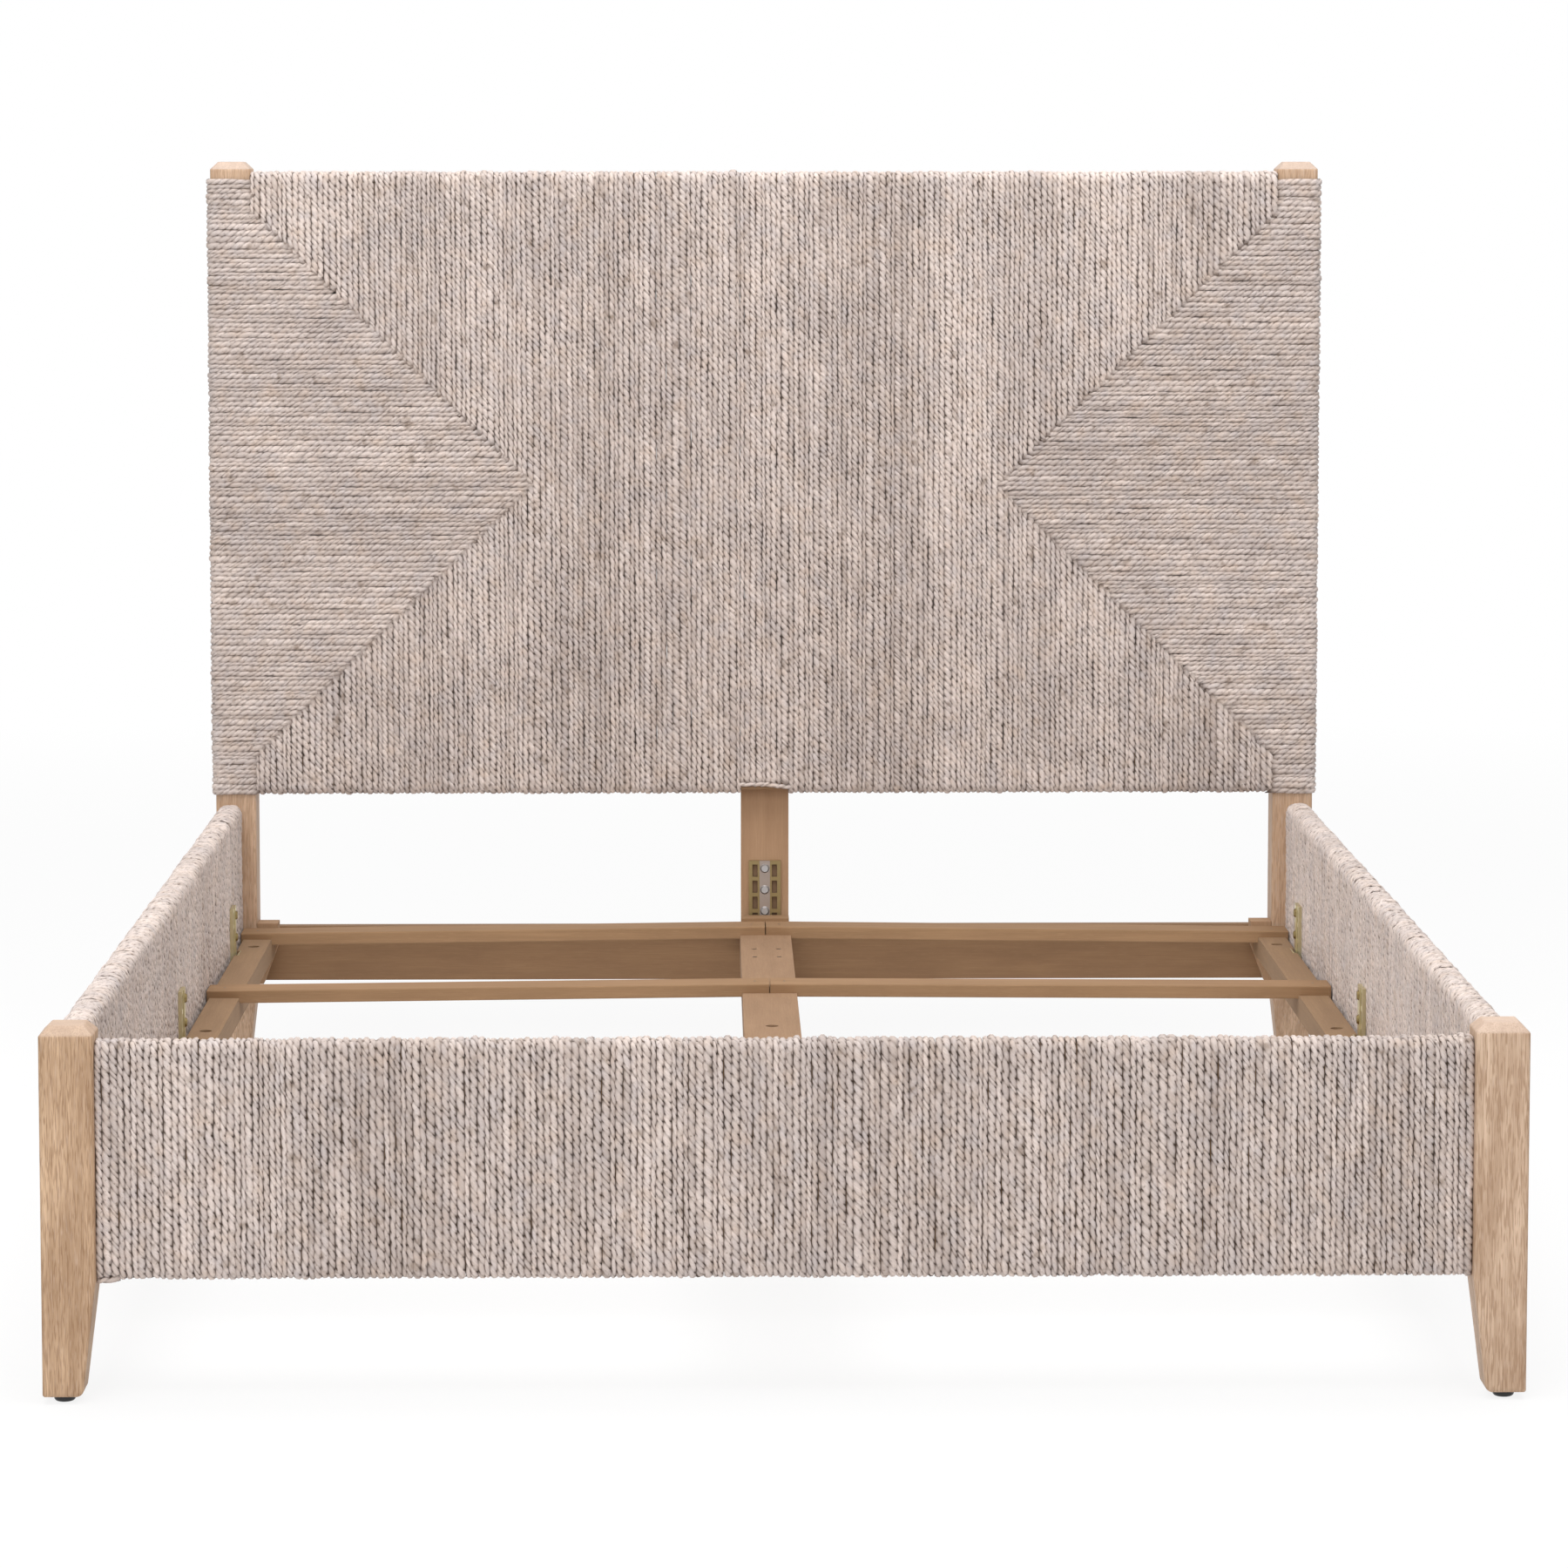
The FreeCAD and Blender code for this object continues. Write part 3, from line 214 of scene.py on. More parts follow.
class Route:
    """The line that the middle of a cord follows around a board, in the plane across the board's length."""

    def __init__(self, corners, radius, axes, sample=1 * MM):
        points = [np.array(corners[0])]
        for before, corner, after in zip(corners, corners[1:], corners[2:]):
            corner = np.array(corner)
            inward = (np.array(before) - corner) / np.linalg.norm(np.array(before) - corner)
            onward = (np.array(after) - corner) / np.linalg.norm(np.array(after) - corner)
            centre = corner + radius * (inward + onward)
            for turn in np.linspace(0, math.pi / 2, 9):
                points.append(centre - radius * (math.cos(turn) * onward + math.sin(turn) * inward))
        points.append(np.array(corners[-1]))
        line = np.array(points)
        reach = np.concatenate([[0], np.cumsum(np.linalg.norm(np.diff(line, axis=0), axis=1))])
        self.length = reach[-1]
        self.reach = np.linspace(0, self.length, int(self.length / sample))
        self.spot = np.stack([np.interp(self.reach, reach, line[:, i]) for i in (0, 1)], axis=1)
        ahead = np.gradient(self.spot, self.reach, axis=0)
        ahead /= np.linalg.norm(ahead, axis=1)[:, None]
        outward = np.stack([ahead[:, 1], -ahead[:, 0]], axis=1)
        middle = (line.min(0) + line.max(0)) / 2
        if np.sum(outward * (self.spot - middle)) < 0:
            outward = -outward
        self.outward = outward
        self.axes = [AXES[axis] for axis in axes]
        # Which of the two axes across the board points at its edges
        self.edge = 0 if axes[0] == "z" else 1
        along, ahead_way, outward_way = np.zeros(3), np.zeros(3), np.zeros(3)
        along[self.axes[0]] = 1
        ahead_way[self.axes[1:]] = ahead[1]
        outward_way[self.axes[1:]] = outward[1]
        self.hand = round(float(np.dot(np.cross(along, ahead_way), outward_way)))

    def at(self, reach):
        """The spots and outward ways at some reaches along the line, which may run on into the next turn."""
        columns = [np.interp(reach, self.reach, column, period=self.length) for column in
                   (*self.spot.T, *self.outward.T)]
        return np.stack(columns[:2], -1), np.stack(columns[2:], -1)

    def reach_of(self, value, axis, facing, sign):
        """The reach where the line passes a value on one axis, on the side that faces one way."""
        side = sign * self.outward[:, facing] > 0.99
        order = np.argsort(self.spot[side, axis])
        return float(np.interp(value, self.spot[side, axis][order], self.reach[side][order]))


def slow_change(count, reach):
    """Chance that changes slowly along a row, over some neighbours."""
    return np.convolve(dice.standard_normal(count + reach - 1), np.ones(reach) / math.sqrt(reach), "valid")


def lay_cord(route, place, width, tone, start, end, shift=0.0, tucked=False, openness=1.0, slack=(0.0, 0.0)):
    """One cord along a stretch of its route: points in rows, and what its surface needs at each of them."""
    spacing = PLY_SPACING * dice.uniform(*PLY_STRETCH)
    plies = int((end - start) / spacing) + 2
    uneven_grooves = np.arange(plies + 1) + dice.uniform(-GROOVE_SHIFT, GROOVE_SHIFT, plies + 1) - dice.uniform(0, 1)
    grooves = start + spacing * uneven_grooves
    middle_reach = (grooves[:-1, None] + np.diff(grooves)[:, None] * ROW_STEPS).ravel()
    fullness = np.repeat(1 + FULLNESS_SPREAD * dice.standard_normal(plies), len(ROW_STEPS))[:, None]
    fullness = fullness * np.tile(ROW_FULLNESS, (plies, 1))[:, ACROSS_FACE]
    # A ply's own tint, on a slow change of the yarn along the cord
    slow = slow_change(plies, SLOW_PLIES)
    ply_tint = np.clip(MEAN_TINT + tone + SLOW_TINT * slow + PLY_TINT * dice.standard_normal(plies), 0, 1)
    tint = np.repeat(ply_tint, len(ROW_STEPS))
    # Some plies lie close to the next turn, and others leave a gap on one side or on both, with painted shade in it
    gap = np.clip(dice.normal(openness, GAP_SPREAD, (plies, 2)), 0, MOST_GAP)
    gap = np.repeat(gap, len(ROW_STEPS), axis=0)
    gap = np.maximum(gap, (0.5 + openness) * np.tile(LEAST_GAP, plies)[:, None])
    crease = np.repeat(np.clip(dice.normal(1.0, CREASE_SPREAD, plies), *CREASE_LIMITS), len(ROW_STEPS))
    darkness = np.stack([gap[:, 0], gap[:, 0], crease, crease, gap[:, 1], gap[:, 1]], 1)
    depth = np.clip(np.tile(ROW_DEPTH, (plies, 1))[:, ACROSS_FACE] * darkness, 0, 1)
    inside = (middle_reach > start) & (middle_reach < end)
    middle_reach, fullness, tint, depth, gap = (row[inside] for row in (middle_reach, fullness, tint, depth, gap))
    reach = middle_reach[:, None] - route.hand * PLY_LEAN * FACE_ANGLES[None, :]
    thickness = CORD_THICKNESS * (0.5 + 0.5 * width / CORD_PITCH)
    across = 0.5 * width * fullness * np.sin(FACE_ANGLES)
    rise = 0.5 * thickness * fullness * np.cos(FACE_ANGLES) + dice.normal(0, LIFT_SPREAD)
    across[:, EDGES] = EDGE_REACH * width * np.sign(FACE_ANGLES[EDGES])
    rise[:, EDGES] = (EDGE_HEIGHT - GAP_DROP * gap) * CORD_THICKNESS / 2
    # Each cord wanders a little to the side and in depth
    for length, sway, lift in WANDER:
        turns = 2 * math.pi * reach / length
        across += sway * np.sin(turns + dice.uniform(0, 2 * math.pi))
        rise += lift * np.sin(turns + dice.uniform(0, 2 * math.pi))
    # A tucked tip sinks into its seam, and painted shade darkens the cord around it
    if tucked:
        for tip in (start, end):
            rise -= TUCK_DEPTH * np.exp(-((reach - tip) / TUCK_LENGTH) ** 2)
            depth = np.maximum(depth, np.exp(-((reach - tip) / TUCK_SHADE) ** 2))
    across += shift * np.clip((reach - start) / (end - start) * 2 - 1, 0, 1)
    spot, outward = route.at(reach)
    # Where it turns around the edges of its board, a cord is slack and fills its gaps
    edge = outward[..., route.edge]
    rise += slack[0] * np.clip(-edge, 0, 1) + slack[1] * np.clip(edge, 0, 1)
    filled = rise[:, EDGES] + EDGE_FILL * edge[:, EDGES] ** 2
    rise[:, EDGES] = np.minimum(filled, np.maximum(rise[:, EDGES], rise[:, NEXT_TO_EDGES]))
    points = np.zeros(reach.shape + (3,))
    points[..., route.axes[0]] = place + across
    for i, axis in enumerate(route.axes[1:]):
        points[..., axis] = spot[..., i] + outward[..., i] * rise
    facing = np.zeros(3)
    facing[route.axes[1:]] = outward[len(middle_reach) // 2, 2]
    lay = np.zeros(reach.shape + (3,))
    lay[..., 0] = (middle_reach / MM)[:, None]
    lay[..., 1] = FACE_ANGLES * CORD_THICKNESS / 2 / MM
    lay[..., 2] = dice.uniform(0, 1000)
    flat_across = FLAT_SHARE * width * (np.arange(len(FACE_ANGLES)) / (len(FACE_ANGLES) - 1) - 0.5)
    flat = np.stack(np.broadcast_arrays(place + flat_across[None, :], middle_reach[:, None]), -1)
    tint = np.broadcast_to(tint[:, None], depth.shape)
    return {"points": points, "lay": lay, "depth": depth, "tint": tint, "flat": flat, "facing": facing}


def uneven(low, high, pitch=CORD_PITCH):
    """The places, widths and tones of cords laid side by side, no two quite the same."""
    widths = 1 + WIDTH_SPREAD * dice.standard_normal(round((high - low) / pitch)).clip(-2, 2)
    widths *= (high - low) / widths.sum()
    # The yarn changes slowly from one turn to the next
    tones = SLOW_TINT * slow_change(len(widths), SLOW_TURNS) + TURN_TINT * dice.standard_normal(len(widths))
    return list(zip(low + np.cumsum(widths) - widths / 2, widths, tones))


def quads_of(cord, offset):
    """The faces of one cord, turned outwards."""
    rows, columns = cord["depth"].shape
    corner = offset + np.arange((rows - 1) * columns).reshape(rows - 1, columns)[:, :-1].ravel()
    quads = np.stack([corner, corner + 1, corner + columns + 1, corner + columns], 1)
    points = cord["points"]
    middle = (rows // 2, columns // 2)
    one = points[middle[0], middle[1]] - points[middle[0], middle[1] - 1]
    other = points[middle[0], middle[1]] - points[middle[0] - 1, middle[1]]
    if np.dot(np.cross(one, other), cord["facing"]) < 0:
        quads = quads[:, ::-1]
    return quads


def piece_of(name, points, quads):
    """A smooth mesh piece from points and four-cornered faces."""
    mesh = bpy.data.meshes.new(name)
    mesh.vertices.add(len(points))
    mesh.vertices.foreach_set("co", points.astype(np.float32).ravel())
    mesh.loops.add(quads.size)
    mesh.loops.foreach_set("vertex_index", quads.astype(np.int32).ravel())
    mesh.polygons.add(len(quads))
    mesh.polygons.foreach_set("loop_start", np.arange(0, quads.size, 4, dtype=np.int32))
    mesh.update(calc_edges=True)
    mesh.shade_smooth()
    piece = bpy.data.objects.new(name, mesh)
    bpy.context.scene.collection.objects.link(piece)
    return piece


def bind(name, node, cords):
    """Cords side by side as pieces that stand for a CAD skin."""
    batches = [[]]
    load = 0
    for cord in cords:
        triangles = 2 * (cord["depth"].shape[0] - 1) * (cord["depth"].shape[1] - 1)
        if load + triangles > MOST_TRIANGLES:
            batches.append([])
            load = 0
        batches[-1].append(cord)
        load += triangles
    for i, batch in enumerate(batches, start=1):
        offsets = np.cumsum([0] + [cord["depth"].size for cord in batch])
        quads = np.concatenate([quads_of(cord, offset) for cord, offset in zip(batch, offsets)])
        gather = {key: np.concatenate([cord[key].reshape(-1, *cord[key].shape[2:]) for cord in batch])
                  for key in ("points", "lay", "depth", "tint", "flat")}
        piece = piece_of(f"{name}_{i}", gather["points"], quads)
        mesh = piece.data
        mesh.attributes.new("lay", "FLOAT_VECTOR", "POINT").data.foreach_set("vector", gather["lay"].ravel())
        mesh.attributes.new("depth", "FLOAT", "POINT").data.foreach_set("value", gather["depth"])
        mesh.attributes.new("tint", "FLOAT", "POINT").data.foreach_set("value", gather["tint"])
        low, high = gather["flat"].min(0), gather["flat"].max(0)
        flat = (gather["flat"] - low) / (high - low) * (1 - 2 * FLAT_MARGIN) + FLAT_MARGIN
        mesh.uv_layers.new(name="OFBake").data.foreach_set("uv", flat[quads.ravel()].astype(np.float32).ravel())
        mesh.materials.append(CORD)
        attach(piece, "frame")
        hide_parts(node)


def loop_corners(low, high):
    """The corners of a closed route around a board, from the middle of its underside up the low side."""
    inset = CORD_THICKNESS / 2
    (low_a, low_b), (high_a, high_b) = np.array(low) + inset, np.array(high) - inset
    middle = (low_a + high_a) / 2
    return [(middle, low_b), (low_a, low_b), (low_a, high_b), (high_a, high_b), (high_a, low_b), (middle, low_b)]


def edge_slack():
    """How far one turn stands off the lower and the upper edge of its board."""
    return abs(dice.normal(0, LOWER_SLACK)), abs(dice.normal(0, UPPER_SLACK))


def bound_board(node, axes, openness, batch):
    """A board wound from end to end with one batch of cord."""
    low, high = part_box(node)
    along, *section = [AXES[axis] for axis in axes]
    route = Route(loop_corners([low[i] for i in section], [high[i] for i in section]), CORNER_RADIUS, axes)
    cords = []
    for place, width, tone in uneven(low[along], high[along]):
        step = width if place + width < high[along] else 0.0
        cords.append(lay_cord(route, place, width, tone + batch, 0.0, route.length, shift=step,
                              openness=openness, slack=edge_slack()))
    bind(f"{node}_turns", node, cords)


def bound_headboard():
    """The headboard: upright cords in an hourglass, and cords laid flat around each post out to the seams."""
    low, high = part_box("headboard_cord_middle")
    side_low, side_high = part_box("headboard_cord_right")
    apex, outer, inner = side_low.x, side_high.x, high.x
    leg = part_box("head_center_leg")[1].x
    middle = (low.z + high.z) / 2
    slope = ((high.z - low.z) / 2 - POST_WRAP_HEIGHT) / (inner - apex)
    route = Route(loop_corners((low.y, low.z), (high.y, high.z)), CORNER_RADIUS, "xyz")

    def uneven_end():
        return dice.normal(0, END_SPREAD)

    uprights = []
    for place, width, tone in uneven(low.x, high.x, UPRIGHT_PITCH):
        tone *= UPRIGHT_UNEVENNESS
        # Painted shade darkens the uprights towards the middle
        tone += OUTER_TONE + (MIDDLE_TONE - OUTER_TONE) * math.exp(-(place / MIDDLE_REACH) ** 2)
        if abs(place) < leg:
            front = route.reach_of(low.z + LEG_GAP, 1, 0, -1)
            back = route.reach_of(low.z + LEG_GAP, 1, 0, 1)
            uprights.append(lay_cord(route, place, width, tone, front, back, tucked=True, openness=UPRIGHT_OPENNESS))
        elif abs(place) < apex:
            uprights.append(lay_cord(route, place, width, tone, 0.0, route.length, openness=UPRIGHT_OPENNESS,
                                     slack=edge_slack()))
        else:
            rise = slope * (abs(place) - apex) - TUCK_OVERLAP
            top = [route.reach_of(middle + rise + uneven_end(), 1, 0, sign) for sign in (-1, 1)]
            bottom = [route.reach_of(middle - rise + uneven_end(), 1, 0, sign) for sign in (-1, 1)]
            slack = edge_slack()
            for start, end in (top, (bottom[1], route.length + bottom[0])):
                uprights.append(lay_cord(route, place, width, tone, start, end, tucked=True, openness=UPRIGHT_OPENNESS,
                                         slack=slack))
    bind("headboard_upright_cords", "headboard_cord_middle", uprights)
    inset = CORD_THICKNESS / 2
    for side, way in (("left", -1), ("right", 1)):
        edge = way * (outer - inset)
        corners = [(0, low.y + inset), (edge, low.y + inset), (edge, high.y - inset), (0, high.y - inset)]
        route = Route(corners, CORNER_RADIUS, "zxy")
        cords = []
        for place, width, tone in uneven(side_low.z, side_high.z):
            seam = min(apex + abs(place - middle) / slope, inner) - TUCK_OVERLAP
            start, end = (route.reach_of(way * (seam + uneven_end()), 0, 1, sign) for sign in (-1, 1))
            cords.append(lay_cord(route, place, width, FLAT_UNEVENNESS * tone + FLAT_TONE, start, end, tucked=True,
                                  openness=FLAT_OPENNESS))
        bind(f"headboard_flat_cords_{side}", f"headboard_cord_{side}", cords)


def cross_cord(name, node, near, far, height, drop, front):
    """A short cord across the front of a board, its ends bent inwards."""
    inward = front + 3 * CORD_THICKNESS
    route = Route([(near, inward), (near, front), (far, front), (far, inward)], CORD_THICKNESS / 2, "zxy")
    bind(name, node, [lay_cord(route, height, CORD_THICKNESS, 0.0, 0.0, route.length, shift=-drop)])


# The uprights in front of the centre leg end this far above the lower edge, and at the corners the flat cords go
# around the post alone over this height
LEG_GAP = 9 * MM
POST_WRAP_HEIGHT = 58 * MM
# The headboard's cords leave less of a gap than the boards', the flat ones least, and the uprights vary most in tone
UPRIGHT_PITCH = 8.0 * MM
UPRIGHT_OPENNESS = 0.58
UPRIGHT_UNEVENNESS = 1.25
FLAT_OPENNESS = 0.1
FLAT_UNEVENNESS = 0.6
# The tone of its cords: the flat ones', and the uprights', which are darker in the middle and lighter out towards the
# posts as painted shade
FLAT_TONE = 0.02
MIDDLE_TONE = -0.09
OUTER_TONE = -0.26
MIDDLE_REACH = 240 * MM
# The axes along and across each bound board, how open its turns lie, and the tone of its batch of cord
BOUND_BOARDS = (
    ("footboard_cord", "xyz", 0.65, -0.02),
    ("side_rail_left_cord", "yxz", 0.4, -0.36),
    ("side_rail_right_cord", "yxz", 0.4, -0.22),
)
for node, axes, openness, batch in BOUND_BOARDS:
    bound_board(node, axes, openness, batch)
bound_headboard()
# The cord that ties off the turns over the centre leg, and the end that hangs at the footboard's lower left corner
cross_cord("headboard_tie", "headboard_cord_middle", near=-39 * MM, far=39 * MM, height=435 * MM, drop=5.5 * MM,
           front=1017 * MM)
cross_cord("footboard_loose_end", "footboard_cord", near=-764 * MM, far=-742 * MM, height=136 * MM, drop=-4 * MM,
           front=-1072 * MM)


# Wood

# Painted shade on the centre leg, behind the windows of its bracket
BRACKET_SHADE_WIDTH = 42 * MM
BRACKET_SHADE_HEIGHT = 92 * MM
BRACKET_SHADE_MIDDLE = 266 * MM


def wood(name, grain, light, dark, wash, roughness, figure, end_wash=0.0, ease=1 * MM, stain=0.0,
         open_pores=0.0):
    """A board's material, with its grain along one axis."""
    material, tree, shader = new_material(name)
    place = add(tree, "ShaderNodeTexCoord").outputs["Object"]
    board = add(tree, "ShaderNodeObjectInfo").outputs["Random"]
    moved = add(tree, "ShaderNodeVectorMath", {0: place, 1: board}, operation="ADD").outputs[0]

    def streaks(width, length, detail):
        stretch = [1 / width] * 3
        stretch[AXES[grain]] = 1 / length
        spot = add(tree, "ShaderNodeVectorMath", {0: moved, 1: stretch}, operation="MULTIPLY").outputs[0]
        noise = add(tree, "ShaderNodeTexNoise", {"Vector": spot, "Scale": 1.0, "Detail": detail, "Distortion": 0.3})
        return noise.outputs[0]

    # Flames and rings have real sizes; fibres, pores and vessels are drawn coarser than they are, so that they show
    flames = streaks(30 * MM, 130 * MM, 3.0)
    rings = streaks(9 * MM, 320 * MM, 3.0)
    fibres = streaks(1.6 * MM, 60 * MM, 3.0)
    pores = streaks(1.1 * MM, 16 * MM, 1.0)
    vessels = streaks(1.5 * MM, 20 * MM, 1.0)
    colour = linear(light)
    shares = ((flames, 0.34, 0.66, figure, dark), (rings, 0.36, 0.70, 0.8 * figure, dark),
              (fibres, 0.38, 0.70, 0.46, dark), (vessels, 0.50, 0.62, open_pores, dark),
              (pores, 0.56, 0.74, 0.4, wash))
    for noise, low, high, most, tone in shares:
        share = add(tree, "ShaderNodeMapRange", {"Value": noise, "From Min": low, "From Max": high, "To Max": most})
        colour = add(tree, "ShaderNodeMix", {0: share.outputs[0], MIX_A: colour, MIX_B: linear(tone)},
                     data_type="RGBA").outputs[MIX_OUT]
    if end_wash:
        # More of the wash stays on the cut end of the grain
        facing = add(tree, "ShaderNodeSeparateXYZ", {0: add(tree, "ShaderNodeNewGeometry").outputs["Normal"]})
        share = add(tree, "ShaderNodeMapRange", {"Value": facing.outputs["Z"], "From Min": 0.2, "From Max": 0.8,
                                                 "To Max": end_wash})
        colour = add(tree, "ShaderNodeMix", {0: share.outputs[0], MIX_A: colour, MIX_B: linear(wash)},
                     data_type="RGBA").outputs[MIX_OUT]
    # Edges eased by sanding catch a soft light
    eased = add(tree, "ShaderNodeBevel", {"Radius": ease}, samples=6)
    if stain:
        # Painted shade behind the windows of the bracket on the centre leg
        spot = add(tree, "ShaderNodeSeparateXYZ", {0: place}).outputs
        aside = add(tree, "ShaderNodeMath", {0: spot["X"]}, operation="ABSOLUTE").outputs[0]
        above = add(tree, "ShaderNodeMath", {0: spot["Z"], 1: BRACKET_SHADE_MIDDLE}, operation="SUBTRACT").outputs[0]
        away = add(tree, "ShaderNodeMath", {0: above}, operation="ABSOLUTE").outputs[0]
        for distance, half in ((aside, BRACKET_SHADE_WIDTH / 2), (away, BRACKET_SHADE_HEIGHT / 2)):
            inside = add(tree, "ShaderNodeMath", {0: distance, 1: half}, operation="LESS_THAN").outputs[0]
            stain = add(tree, "ShaderNodeMath", {0: stain, 1: inside}, operation="MULTIPLY").outputs[0]
        colour = add(tree, "ShaderNodeMix", {0: stain, MIX_A: colour, MIX_B: linear("#4A3520")},
                     data_type="RGBA").outputs[MIX_OUT]
    bump = add(tree, "ShaderNodeBump", {"Height": fibres, "Strength": 0.25, "Distance": 0.3 * MM,
                                        "Normal": eased.outputs[0]})
    tree.links.new(colour, shader.inputs["Base Color"])
    tree.links.new(bump.outputs[0], shader.inputs["Normal"])
    shader.inputs["Roughness"].default_value = roughness
    return material


# Which pieces have their grain along which axis, or a finish of their own
GRAINS = {
    "x": ("slat_", "headboard_top", "headboard_bottom", "footboard_core", "headboard_dowels",
          "footboard_dowels", "center_rail_end"),
    "y": ("center_rail", "side_rail", "support_leg_cleats"),
    "ledger": ("ledger_left", "ledger_right"),
    "z": ("head_center_leg", "head_corner", "support_leg_head", "support_leg_middle"),
    "stretcher": ("head_stretcher",),
}
# Limed oak, sanded: pale with brown flames, and with white filler left in its open pores
sanded = {"roughness": 0.55, "figure": 0.55, "end_wash": 0.6, "ease": 6 * MM}
limed_oak = {
    "foot_left": wood("limed_oak_sanded_left", "z", "#D5B493", "#876443", "#C4AC9A", open_pores=0.62, **sanded),
    "foot_right": wood("limed_oak_sanded_right", "z", "#DFC3A9", "#927052", "#C9B2A2", open_pores=0.62, **sanded),
    "head": wood("limed_oak_sanded_head", "z", "#DDBDA0", "#9D7B5D", "#BAABA2", open_pores=0.55, **sanded),
}
# Stained poplar, planed: even tan with a faint close grain; the copies for the deck are darker than the centre leg's
# as painted shade, and darkest on the stretchers, which carry the most painted shade
planed = {"roughness": 0.8, "figure": 0.55}
poplar = {
    "x": wood("stained_poplar_planed_x", "x", "#9B7957", "#876748", "#9F7F5D", **planed),
    "y": wood("stained_poplar_planed_y", "y", "#9A7A5D", "#86684D", "#9E8064", **planed),
    "ledger": wood("stained_poplar_planed_brown", "y", "#967859", "#82664B", "#9B7E63", **planed),
    # The centre leg's copy has painted shade behind its bracket
    "z": wood("stained_poplar_planed_z", "z", "#B69373", "#A07D5E", "#B8977A", stain=0.65, **planed),
    "stretcher": wood("stained_poplar_planed_dark", "x", "#917050", "#7E5F43", "#947456", **planed),
}


# Metal and plastic

# The brighter column up the middle of the centre brackets, and how soft its edge is
COLUMN_HALF = 7.8 * MM
COLUMN_EDGE = 0.2 * MM


def zinc_plate(name, colour, patina, column=None):
    """Steel with a coat of zinc: dull metal with cloudy tints, and in some a brighter column up the middle."""
    material, tree, shader = new_material(name)
    place = add(tree, "ShaderNodeTexCoord").outputs["Object"]
    clouds = add(tree, "ShaderNodeTexNoise", {"Vector": place, "Scale": 1 / (12 * MM), "Detail": 4.0})
    tint = add(tree, "ShaderNodeMix", {0: clouds.outputs[0], MIX_A: linear(colour), MIX_B: linear(patina)},
               data_type="RGBA")
    if column:
        aside = add(tree, "ShaderNodeMath", {0: add(tree, "ShaderNodeSeparateXYZ", {0: place}).outputs["X"]},
                    operation="ABSOLUTE")
        share = add(tree, "ShaderNodeMapRange", {"Value": aside.outputs[0], "From Min": COLUMN_HALF,
                                                 "From Max": COLUMN_HALF + COLUMN_EDGE, "To Min": 1.0, "To Max": 0.0})
        tint = add(tree, "ShaderNodeMix", {0: share.outputs[0], MIX_A: tint.outputs[MIX_OUT], MIX_B: linear(column)},
                   data_type="RGBA")
    rough = add(tree, "ShaderNodeMapRange", {"Value": clouds.outputs[0], "To Min": 0.28, "To Max": 0.5})
    tree.links.new(tint.outputs[MIX_OUT], shader.inputs["Base Color"])
    tree.links.new(rough.outputs[0], shader.inputs["Roughness"])
    shader.inputs["Metallic"].default_value = 1.0
    return material


def moulded_nylon():
    """Black moulded nylon: dark, slightly glossy, with a fine spark-eroded grain, drawn coarser so that it shows."""
    material, tree, shader = new_material("nylon_moulded_black")
    place = add(tree, "ShaderNodeTexCoord").outputs["Object"]
    grain = add(tree, "ShaderNodeTexNoise", {"Vector": place, "Scale": 1 / (0.8 * MM), "Detail": 2.0})
    shade = add(tree, "ShaderNodeMix", {0: grain.outputs[0], MIX_A: linear("#141414"), MIX_B: linear("#242424")},
                data_type="RGBA")
    bump = add(tree, "ShaderNodeBump", {"Height": grain.outputs[0], "Strength": 0.2, "Distance": 0.1 * MM})
    tree.links.new(shade.outputs[MIX_OUT], shader.inputs["Base Color"])
    tree.links.new(bump.outputs[0], shader.inputs["Normal"])
    shader.inputs["Roughness"].default_value = 0.45
    return material


# Brackets and plates of pale straw, clouded by the yellow zinc
yellow_zinc = zinc_plate("steel_pressed_yellow_zinc", "#E1D8B7", "#C4B789")
# Centre brackets of dark straw with a grey column up the middle
two_tone_zinc = zinc_plate("steel_pressed_two_tone_zinc", "#A5946E", "#8C7A54", "#A89C94")
# Bracket screws that hardly stand out from their plates, dark straw at the sides and grey in the middle
dull_zinc = zinc_plate("steel_turned_two_tone_zinc", "#9A875C", "#80704A", "#B8B8BA")
# Inserts of plain grey
bright_zinc = zinc_plate("steel_turned_bright_zinc", "#B8B8BA", "#96969A")
# Screws in the slats and the centre rail, dark spots in the wood
brown_steel = zinc_plate("steel_turned_brown_phosphate", "#4A3E34", "#5C4E42")
nylon = moulded_nylon()

slot_of = {row["node"]: row["material_slot"] for row in frame["record"]["subparts"]}
plain_finish = {"bracket_steel": yellow_zinc, "screw_steel": bright_zinc, "glide_plastic": nylon, "cord": CORD}
for name, node in nodes.items():
    slot = slot_of[name]
    if slot == "post_wood":
        finish = limed_oak["head" if name.startswith("head") else name.replace("post_", "")]
    elif name in ("slat_screws", "center_rail_screws"):
        finish = brown_steel
    elif name == "bracket_screws":
        finish = dull_zinc
    elif name.startswith("level_bracket_center"):
        finish = two_tone_zinc
    elif slot in ("deck_wood", "inner_wood"):
        starts = [(len(start), grain) for grain, group in GRAINS.items() for start in group if name.startswith(start)]
        finish = poplar[max(starts)[1]]
    else:
        finish = plain_finish[slot]
    node.data.materials.clear()
    node.data.materials.append(finish)


# Slats that fall a little from the centre rail to the ledgers, and the screws that follow them

SLAT_REACH = 784 * MM
SLAT_EASE = 1.6 * MM
CENTER_SCREW = 19 * MM
LEDGER_SCREW = 759.4 * MM


def turned_inside_out(points, quads):
    """Whether the faces of a closed shape look inwards."""
    corner = points[quads]
    normal = np.cross(corner[:, 2] - corner[:, 0], corner[:, 3] - corner[:, 1])
    return np.sum(normal * (corner.mean(1) - points.mean(0))) < 0


